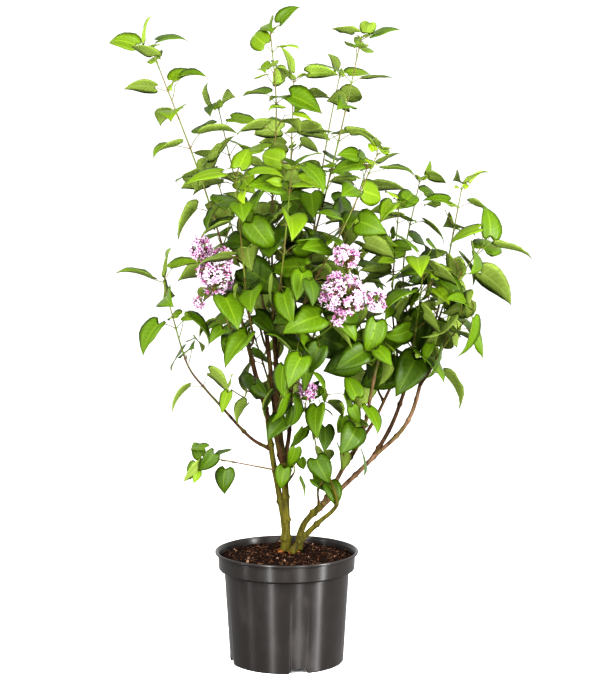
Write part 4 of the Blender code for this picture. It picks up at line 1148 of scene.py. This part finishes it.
def stalkTubes(found):
    look = stalkLook
    root, joint, axis, out, size, normal = (
        np.array([leaf[key] for leaf in found]) for key in
        ("root", "joint", "axis", "out", "size", "normal"))
    root = root - out * look["sunk"]
    reach = np.linalg.norm(joint - root, axis=1, keepdims=True)
    elbow = joint - unit(look["bladeShare"] * axis + out) * reach * look["elbow"]
    k = np.linspace(0, 1, look["rings"])
    path = arc(root[:, None], elbow[:, None], joint[:, None], k[None, :, None])
    thick = np.clip(size / look["fullAt"], *look["thick"])[:, None]
    radii = thick * np.interp(k, look["radiiAt"], look["radii"])[None]
    return tubesOf(path, radii, look["sides"], across=normal)


points, quads, tris = stalkTubes(leaves)
piece = makePiece("leafStalks", points, quads, tris, finishes=[stalkGreen])
print("stalks done")


# Flower heads. Each floret has a tube and four petals. With r from the throat to the petal's
# end and s across: half width = wide * sin(pi (0.12 + 0.8 r))^0.7,
# lift = (cup r^2 - reflex r^4) / 2 + 0.09 s^2 sin(pi r)
floretLook = dict(size=(0.0115, 0.0155), wide=0.155, tube=0.009, spacing=0.0092, cyme=6, pull=0.30,
                  cup=(0.0, 0.9), reflex=(0.0, 0.5), hubDepth=(0.74, 1.02), depth=(0.88, 1.06),
                  bend=0.8, fan=0.7, thin=0.03, budShare=0.26, tintShares=(0.5, 0.28, 0.22))
petalFaces = 4 * 12  # four petals, each six faces above and six below
petalTints = (((0.44, 0.26, 0.39), (0.54, 0.39, 0.50)), ((0.32, 0.13, 0.26), (0.45, 0.27, 0.39)),
              ((0.54, 0.42, 0.52), (0.62, 0.54, 0.60)))
petalFinishes = [petalFinish("petal" + str(k), *tints) for k, tints in enumerate(petalTints)]
petalFinishes.append(petalFinish("throat", (0.17, 0.03, 0.12), (0.26, 0.06, 0.18)))
budFinish = petalFinish("flowerBud", (0.19, 0.04, 0.11), (0.33, 0.12, 0.23))


# Ways spread evenly over a ball by the golden angle, from a random start, each a little off
def ballWays(count, off, draw):
    k = np.arange(count) + 0.5
    z = 1 - 2 * k / count
    angle = k * 2.39996 + draw.uniform(0, 6.28)
    flat = np.sqrt(1 - z**2)
    ways = np.stack([flat * np.cos(angle), flat * np.sin(angle), z], -1)
    return unit(ways + draw.normal(size=ways.shape) * off)


# Florets over each lobe, drawn together round the hub of their own cyme, which stands at its
# own depth: spot = centre + lobe size * depth * unit(way + pull * (hub - way))
def floretPlaces(lobes, draw):
    look = floretLook
    spots, outs = [], []
    for number, (centre, wide, high) in enumerate(lobes):
        count = max(4, int(4 * math.pi * ((2 * wide + high) / 3) ** 2 / look["spacing"] ** 2))
        ways = ballWays(count, 0.12, draw)
        hubs = ballWays(max(2, count // look["cyme"]), 0.25, draw)
        own = np.argmax(ways @ hubs.T, axis=1)
        ways = unit(ways + look["pull"] * (hubs[own] - ways))
        depth = draw.uniform(*look["hubDepth"], len(hubs))[own] * draw.uniform(*look["depth"], count)
        spot = centre + ways * (wide, wide, high) * depth[:, None]
        keep = np.ones(count, bool)
        for other, (place, otherWide, otherHigh) in enumerate(lobes):
            if other != number:
                inside = np.sum(((spot - place) / (otherWide, otherWide, otherHigh)) ** 2, axis=1)
                keep &= inside > 0.8
        out = unit(unit(ways / (wide, wide, high)) + look["fan"] * (ways - hubs[own]))
        spots.append(spot[keep])
        outs.append(out[keep])
    return np.concatenate(spots), np.concatenate(outs)


# Petals stand a quarter turn apart, face up, with a sheet below the middle of each, and the
# tube is a line from the throat back along face. Returns petals, tubes and the tubes' feet.
def floretSheets(spots, outs, draw):
    count = len(spots)
    size = draw.uniform(*floretLook["size"], count)
    face = unit(outs + draw.normal(size=outs.shape) * floretLook["bend"] * 0.5 + (0, 0, 0.15))
    first = unit(np.cross(face, draw.normal(size=face.shape)))
    second = np.cross(face, first)
    r = np.array((0.10, 0.42, 0.78, 1.0))[:, None]
    s = np.array((-1.0, 0.0, 1.0))[None, :]
    half = floretLook["wide"] * np.sin(math.pi * (0.12 + 0.8 * r)) ** 0.7
    cup = draw.uniform(*floretLook["cup"], (count, 4))[:, :, None, None]
    reflex = draw.uniform(*floretLook["reflex"], (count, 4))[:, :, None, None]
    lift = cup * r**2 * 0.5 - reflex * r**4 * 0.5 + 0.09 * s**2 * np.sin(math.pi * r)
    quarter = np.arange(4) * math.pi / 2 + draw.uniform(-0.12, 0.12, (count, 4))
    way = np.cos(quarter)[..., None] * first[:, None] + np.sin(quarter)[..., None] * second[:, None]
    side = np.cross(face[:, None], way)
    reach = size[:, None, None, None, None]
    middle = spots[:, None, None, None, :]
    out = 0.5 * r * (1 - 0.12 * np.abs(s))
    sheet = middle + reach * (out[..., None] * way[:, :, None, None]
                              + (half * s)[..., None] * side[:, :, None, None]
                              + lift[..., None] * face[:, None, None, None])
    under = sheet - reach * floretLook["thin"] * face[:, None, None, None]
    points = np.concatenate([sheet.reshape(count * 4, 12, 3),
                             under[:, :, 1:3, 1].reshape(count * 4, 2, 3)], axis=1)
    top = np.arange(12).reshape(4, 3)
    low = top.copy()
    low[1:3, 1] = (12, 13)
    faces = []
    for grid, order in ((top, (0, 1, 2, 3)), (low, (0, 3, 2, 1))):
        corners = np.stack([grid[:-1, :-1], grid[1:, :-1], grid[1:, 1:], grid[:-1, 1:]], -1)
        faces.append(corners.reshape(-1, 4)[:, order])
    petal = np.concatenate(faces)[None] + np.arange(count * 4)[:, None, None] * 14
    k = np.array((0.0, 0.35, 1.0))[None, :, None]
    base = spots - face * floretLook["tube"] * 0.9
    line = spots[:, None] * (1 - k) + base[:, None] * k + face[:, None] * 0.0006
    radii = np.broadcast_to(np.array((0.0013, 0.0007, 0.0006)), (count, 3))
    tubes = tubesOf(line, radii, 5, across=first)
    return (points.reshape(-1, 3), petal.reshape(-1, 4), np.zeros((0, 3), int)), tubes, base


# Closed buds: a ball drawn out along its way, radius = fat * sin(pi k)^0.8
budLook = dict(length=(0.0045, 0.0085), fat=(0.0011, 0.0019), foot=0.3, rings=6, sides=6)


def budSolids(spots, outs, draw):
    look, count = budLook, len(spots)
    k = np.linspace(0.02, 1, look["rings"])
    length = draw.uniform(*look["length"], count)
    line = spots[:, None] + outs[:, None] * (k[None, :, None] - look["foot"]) * length[:, None, None]
    fat = draw.uniform(*look["fat"], count)[:, None]
    radii = np.sin(math.pi * np.clip(k, 0.03, 0.985)) ** 0.8 * fat
    across = unit(np.cross(outs, (0.2, 0.3, 0.9)))
    return tubesOf(line, radii, look["sides"], across=across)


# Stalks inside a head: each floret's foot is joined by an arc to the head's axis, lower down
headLook = dict(lower=0.22, highest=0.92, elbow=(0.55, 0.55, 0.25), radii=(0.0009, 0.0005), rings=4,
                axisRadii=(0.0014, 0.0009), axisRings=6, budFoot=0.002, seed=300)


def headStalks(feet, foot, tip):
    look = headLook
    run = tip - foot
    share = ((feet - foot) @ run) / (run @ run) - look["lower"]
    start = foot + run * np.clip(share, 0, look["highest"])[:, None]
    elbow = start + (feet - start) * look["elbow"]
    k = np.linspace(0, 1, look["rings"])[None, :, None]
    path = arc(start[:, None], elbow[:, None], feet[:, None], k)
    radii = np.broadcast_to(np.linspace(*look["radii"], look["rings"]), path.shape[:2])
    return tubesOf(path, radii, 3, across=(0.4, 0.3, 0.8))


for number, (name, lobes) in enumerate(heads.items()):
    draw = np.random.default_rng(headLook["seed"] + number)
    spots, outs = floretPlaces(lobes, draw)
    isBud = draw.random(len(spots)) < floretLook["budShare"]
    petals, tubes, base = floretSheets(spots[~isBud], outs[~isBud], draw)
    points, quads, tris, fromSet = merged([petals, tubes])
    tints = np.repeat(draw.choice(3, (~isBud).sum(), p=floretLook["tintShares"]), petalFaces)
    finishOf = np.where(fromSet == 1, 3, 0)
    finishOf[:len(tints)] = tints
    piece = makePiece("florets_" + name[8:], points, quads, tris, finishes=petalFinishes,
                      finishOf=finishOf)
    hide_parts(name)
    points, quads, tris = budSolids(spots[isBud], outs[isBud], draw)
    piece = makePiece("buds_" + name[8:], points, quads, tris, finishes=[budFinish])
    foot = stems[name][0][-1]
    feet = np.concatenate([base, spots[isBud] - outs[isBud] * headLook["budFoot"]])
    middles = np.array([centre for centre, _, _ in lobes])
    nearest = np.argmin(np.linalg.norm(feet[:, None] - middles, axis=2), axis=1)
    rings = headLook["axisRings"]
    thick = np.linspace(*headLook["axisRadii"], rings)[None]
    sets = [tubesOf(np.linspace(foot, middle, rings)[None], thick, 6) for middle in middles]
    sets += [headStalks(feet[nearest == k], foot, middle) for k, middle in enumerate(middles)
             if (nearest == k).any()]
    points, quads, tris, _ = merged(sets)
    piece = makePiece("headStalks_" + name[8:], points, quads, tris, finishes=[stalkGreen])
    print("florets", name, len(spots))


# Pot: one wall profile, rounded at each corner, carried round the axis. The underside lifts
# by a notch's height where the way across the notch is less than half its width.
potLook = dict(height=0.2036, rim=0.130, collar=0.1242, collarHeight=0.032, top=0.1132,
               foot=0.1028, wall=0.0018, floor=0.0125, lip=0.005, segments=192, notchWidth=0.034,
               notchHeight=0.0095, notchDepth=0.036, notchTurn=12.4, sideSlope=0.004,
               underside=(0.030, 0.064, 0.0685, 0.085), wave=0.00022, waveFrom=0.09)


# Each corner (r, z, bend) becomes an arc that starts and ends at bend from it
def roundedProfile(corners, steps=5):
    points = [np.array(corners[0][:2], float)]
    for before, (r, z, bend), after in zip(corners, corners[1:], corners[2:]):
        corner = np.array((r, z))
        a = corner + unit(np.array(before[:2]) - corner) * bend
        b = corner + unit(np.array(after[:2]) - corner) * bend
        k = np.linspace(0, 1, steps if bend else 1)[:, None]
        points += list(arc(a, corner, b, k))
    points.append(np.array(corners[-1][:2], float))
    return np.array(points)


# The wall profile turned about Z: x = r cos a, y = r sin a, with the wall waved and the notches cut
def potPiece():
    look = potLook
    rim, collar, height, lip, wall = (look[key] for key in ("rim", "collar", "height", "lip", "wall"))
    shoulder = height - look["collarHeight"]
    under = height - lip
    floor = look["floor"] + 0.001
    corners = [(0.0005, 0, 0)] + [(r, 0, 0) for r in look["underside"]]
    corners += [
        (look["foot"], 0, 0.003), (look["top"], shoulder - 0.004, 0.0015),
        (collar - 0.001, shoulder - 0.0005, 0.0015), (collar, under, 0.001),
        (rim - 0.0008, under + 0.0003, 0.0008), (rim, height - lip * 0.55, 0.0012),
        (rim - 0.0006, height, 0.0018), (collar + 0.0015, height - 0.0004, 0.0014),
        (collar - wall, under - 0.001, 0.001), (collar - 0.001 - wall, shoulder + 0.001, 0.001),
        (look["top"] - wall, shoulder - 0.004, 0.001), (look["foot"] - wall, floor, 0.002),
        (0.0005, floor, 0)]
    profile = roundedProfile(corners)
    angle = anglesOf(look["segments"])
    radius = profile[:, :1] * np.ones_like(angle)
    height = profile[:, 1:] * np.ones_like(angle)
    wave = look["wave"] * ripple(np.cos(angle) * 3, np.sin(angle) * 3, height * 12, 1.0, 5)
    radius = radius + wave * (radius > look["waveFrom"])
    turned = (angle - math.radians(look["notchTurn"]) + math.pi / 4) % (math.pi / 2) - math.pi / 4
    across = np.abs(radius * np.sin(turned))
    lift = np.clip((look["notchWidth"] / 2 - across) / look["sideSlope"], 0, 1)
    lift = lift * np.clip((radius - (look["foot"] - look["notchDepth"])) / 0.002, 0, 1)
    low = np.arange(len(profile))[:, None] < np.argmax(profile[:, 1] > 0.05)
    height = np.where(low, height + (look["notchHeight"] - height).clip(0) * lift, height)
    points = np.stack([radius * np.cos(angle), radius * np.sin(angle), height], -1)
    quads = gridQuads(*height.shape, wrap=True)
    piece = makePiece("potShell", points, quads, fanCaps(*height.shape), finishes=[potFinish()])
    piece.data.set_sharp_from_angle(angle=math.radians(38))
    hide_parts("pot")


potPiece()
print("pot done")


# Compost: a low mound, height = crown - (crown - edge) share^1.3 plus two scales of crumble
soilLook = dict(edge=0.1205, edgeHeight=0.190, crownHeight=0.2005, crownRadius=0.050, rings=44,
                segments=150, crumble=0.0022, crumbs=1500, crumbSize=(0.0009, 0.0032),
                fibres=90, fibreLength=(0.008, 0.028), skirt=0.176, crumbShares=(0.70, 0.27, 0.03),
                roots=13, rootStart=0.009, rootReach=(0.018, 0.034), rootRadii=(0.0017, 0.0006))


# Height of the mound over x and y, by the formula above
def soilHeight(x, y):
    look = soilLook
    distance = np.hypot(x, y)
    share = np.clip((distance - look["crownRadius"]) / (look["edge"] - look["crownRadius"]), 0, 1)
    height = look["crownHeight"] - (look["crownHeight"] - look["edgeHeight"]) * share**1.3
    height = height + look["crumble"] * ripple(x, y, 0 * x, 210, 3, 7)
    return height + 0.5 * look["crumble"] * ripple(x, y, 0 * x, 620, 4, 7)


# The bed: rings of the mound from the middle to the pot's wall, then down and back below
def soilPieces():
    look = soilLook
    radius = np.concatenate([np.linspace(0.0006, look["edge"], look["rings"]), [look["edge"], 0.0006]])
    angle = anglesOf(look["segments"])
    x = radius[:, None] * np.cos(angle)
    y = radius[:, None] * np.sin(angle)
    z = soilHeight(x, y)
    z[-2:] = look["skirt"]
    quads, tris = gridQuads(*z.shape, wrap=True)[:, ::-1], fanCaps(*z.shape)[:, ::-1]
    finish = soilFinish("compost", (0.0026, 0.0010, 0.0004), (0.009, 0.0034, 0.0016))
    piece = makePiece("compostBed", np.stack([x, y, z], -1), quads, tris, finishes=[finish])
    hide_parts("compost")


# Crumbs: small lumps of six sides and three bands, each axis stretched by its own share
def crumbPieces():
    look = soilLook
    draw = np.random.default_rng(21)
    count = look["crumbs"]
    distance = (look["edge"] - 0.004) * np.sqrt(draw.random(count))
    bearing = draw.uniform(0, 6.28, count)
    x, y = distance * np.cos(bearing), distance * np.sin(bearing)
    size = draw.uniform(0, 1, count) ** 2.2
    size = look["crumbSize"][0] + (look["crumbSize"][1] - look["crumbSize"][0]) * size
    centre = np.stack([x, y, soilHeight(x, y) + 0.25 * size], -1)
    band = np.array((-0.95, -0.45, 0.45, 0.95))
    way = unit(draw.normal(size=(count, 3)))
    line = centre[:, None] + way[:, None] * (band[None, :, None] * size[:, None, None])
    radii = np.sqrt(1 - band**2)[None, :, None] * size[:, None, None] * draw.uniform(
        0.5, 1.1, (count, 4, 6))
    points, quads, tris = tubesOf(line, radii, 6, across=unit(np.cross(way, (0.1, 0.9, 0.4))))
    tint = draw.choice(3, count, p=look["crumbShares"])
    finishOf = np.concatenate([np.repeat(tint, len(faces) // count) for faces in (quads, tris)])
    piece = makePiece("compostCrumbs", points, quads, tris, finishOf=finishOf, smooth=False, finishes=[
        soilFinish("crumbDark", (0.0030, 0.0011, 0.0005), (0.008, 0.0031, 0.0016)),
        soilFinish("crumbBrown", (0.018, 0.0065, 0.0030), (0.036, 0.015, 0.007)),
        soilFinish("crumbPale", (0.095, 0.050, 0.032), (0.155, 0.095, 0.066))])


# Fibres lie on the crumbs: a bent line, and roots run out from the trunk and dive under
def fibrePieces():
    look = soilLook
    draw = np.random.default_rng(22)
    count = look["fibres"]
    distance = (look["edge"] - 0.016) * np.sqrt(draw.random(count))
    bearing = draw.uniform(0, 6.28, count)
    way = draw.uniform(0, 6.28, count)
    length = draw.uniform(*look["fibreLength"], count)
    k = np.linspace(-0.5, 0.5, 7)[None, :]
    turn = way[:, None] + k * draw.uniform(-2.2, 2.2, count)[:, None]
    x = (distance * np.cos(bearing))[:, None] + k * length[:, None] * np.cos(turn)
    y = (distance * np.sin(bearing))[:, None] + k * length[:, None] * np.sin(turn)
    z = soilHeight(x, y) + 0.0007
    fibres = tubesOf(np.stack([x, y, z], -1), np.full((count, 7), 0.00028), 4, across=(0.1, 0.2, 1))
    roots = look["roots"]
    bearing = np.linspace(0, 6.28, roots, endpoint=False) + draw.uniform(-0.2, 0.2, roots)
    k = np.linspace(0, 1, 12)[None, :]
    reach = look["rootStart"] + k * draw.uniform(*look["rootReach"], roots)[:, None]
    turn = bearing[:, None] + k * draw.uniform(-0.9, 0.9, roots)[:, None]
    middle = np.array(limbs["trunk"]["through"][0])
    x = middle[0] + reach * np.cos(turn)
    y = middle[1] + reach * np.sin(turn)
    z = soilHeight(x, y) + 0.0022 * (1 - 1.9 * k) + 0.001 * (1 - k)
    radii = np.linspace(*look["rootRadii"], 12)[None] * draw.uniform(0.5, 1.0, roots)[:, None]
    root = tubesOf(np.stack([x, y, z], -1), radii, 6, across=(0.1, 0.2, 1))
    points, quads, tris, fromSet = merged([fibres, root])
    piece = makePiece("rootsAndFibres", points, quads, tris, finishOf=fromSet, finishes=[
        soilFinish("fibre", (0.085, 0.042, 0.020), (0.16, 0.088, 0.048)),
        soilFinish("rootSkin", (0.120, 0.042, 0.009), (0.20, 0.082, 0.022))])


soilPieces()
crumbPieces()
fibrePieces()
print("compost done")


# Stage, camera and light
stageLook = dict(floorSize=24.0, floorColour=(0.96, 0.96, 0.96), above=1.12, below=0.38,
                 horizon=(-0.32, -0.10), contrast="Medium High Contrast")


# Paper floor, and a world that is white above the horizon and dim below it
def makeStage():
    half = stageLook["floorSize"] / 2
    corners = np.array([(-half, -half, 0), (half, -half, 0), (half, half, 0), (-half, half, 0)])
    mesh = bpy.data.meshes.new("floor")
    mesh.from_pydata(corners.tolist(), [], [(0, 1, 2, 3)])
    floor = bpy.data.objects.new("floor", mesh)
    bpy.context.scene.collection.objects.link(floor)
    made, shader = newFinish("floorPaper", 0.6, Specular_IOR_Level=0.2)
    base = stageLook["floorColour"]
    feed(shader, "Base Color", mixed(speckle(shader, 3.0, 2.0), base, tuple(0.985 * c for c in base)))
    mesh.materials.append(made)
    floor.visible_diffuse = False  # the white floor throws no light back up into the leaves
    floor.visible_glossy = False
    world = bpy.data.worlds.new("studio")
    world.use_nodes = True
    tree = world.node_tree
    way = addNode(tree, "ShaderNodeTexCoord").outputs["Generated"]
    up = addNode(tree, "ShaderNodeSeparateXYZ", {0: way}).outputs[2]
    background = tree.nodes["Background"]
    background.inputs[0].default_value = (1, 1, 1, 1)
    glow = ranged(up, *stageLook["horizon"], stageLook["below"], stageLook["above"])
    feed(background, "Strength", glow)
    bpy.context.scene.world = world
    bpy.context.scene.view_settings.view_transform = "Standard"
    bpy.context.scene.view_settings.look = stageLook["contrast"]


lamps = {
    "key": dict(place=(-1.5, -2.0, 3.0), aim=0.6, size=(0.9, 0.9), energy=165),
    "fill": dict(place=(2.4, -1.6, 1.9), aim=0.5, size=(0.8, 0.8), energy=48),
    "stripLeft": dict(place=(-0.82, -1.62, 0.75), aim=0.75, size=(0.05, 1.5), energy=66),
    "stripMiddle": dict(place=(0.70, -1.65, 0.75), aim=0.75, size=(0.12, 1.5), energy=42),
    "stripRight": dict(place=(1.55, -0.85, 0.75), aim=0.75, size=(0.07, 1.5), energy=100),
    "stripFar": dict(place=(-1.70, -0.62, 0.75), aim=0.75, size=(0.05, 1.5), energy=16),
}


# A soft box that looks at the plant's own axis, at the height aim
def addLamp(name, place, aim, size, energy):
    data = bpy.data.lights.new(name, "AREA")
    data.shape = "RECTANGLE"
    data.size, data.size_y = size
    data.energy = energy
    lamp = bpy.data.objects.new(name, data)
    bpy.context.scene.collection.objects.link(lamp)
    lamp.location = place
    lamp.visible_camera = False
    way = Vector((0, 0, aim)) - Vector(place)
    lamp.rotation_mode = "QUATERNION"
    lamp.rotation_quaternion = way.to_track_quat("-Z", "Y")


# The lens is the photo's own: its focal length and frame height in pixels, on a 36 mm sensor
cameraLook = dict(place=(0.024, -4.0, 1.085), down=7.14, lensPixels=2252, framePixels=683, sensor=36,
                  clipEnd=60)


def makeCamera():
    look = cameraLook
    data = bpy.data.cameras.new("camera")
    camera = bpy.data.objects.new("camera", data)
    bpy.context.scene.collection.objects.link(camera)
    camera.location = look["place"]
    camera.rotation_euler = (math.radians(90 - look["down"]), 0, 0)
    data.sensor_fit = "VERTICAL"
    data.sensor_height = look["sensor"]
    data.lens = look["lensPixels"] / look["framePixels"] * look["sensor"]
    data.clip_end = look["clipEnd"]
    bpy.context.scene.camera = camera


makeStage()
makeCamera()
for name, row in lamps.items():
    addLamp(name, **row)
print("stage done")
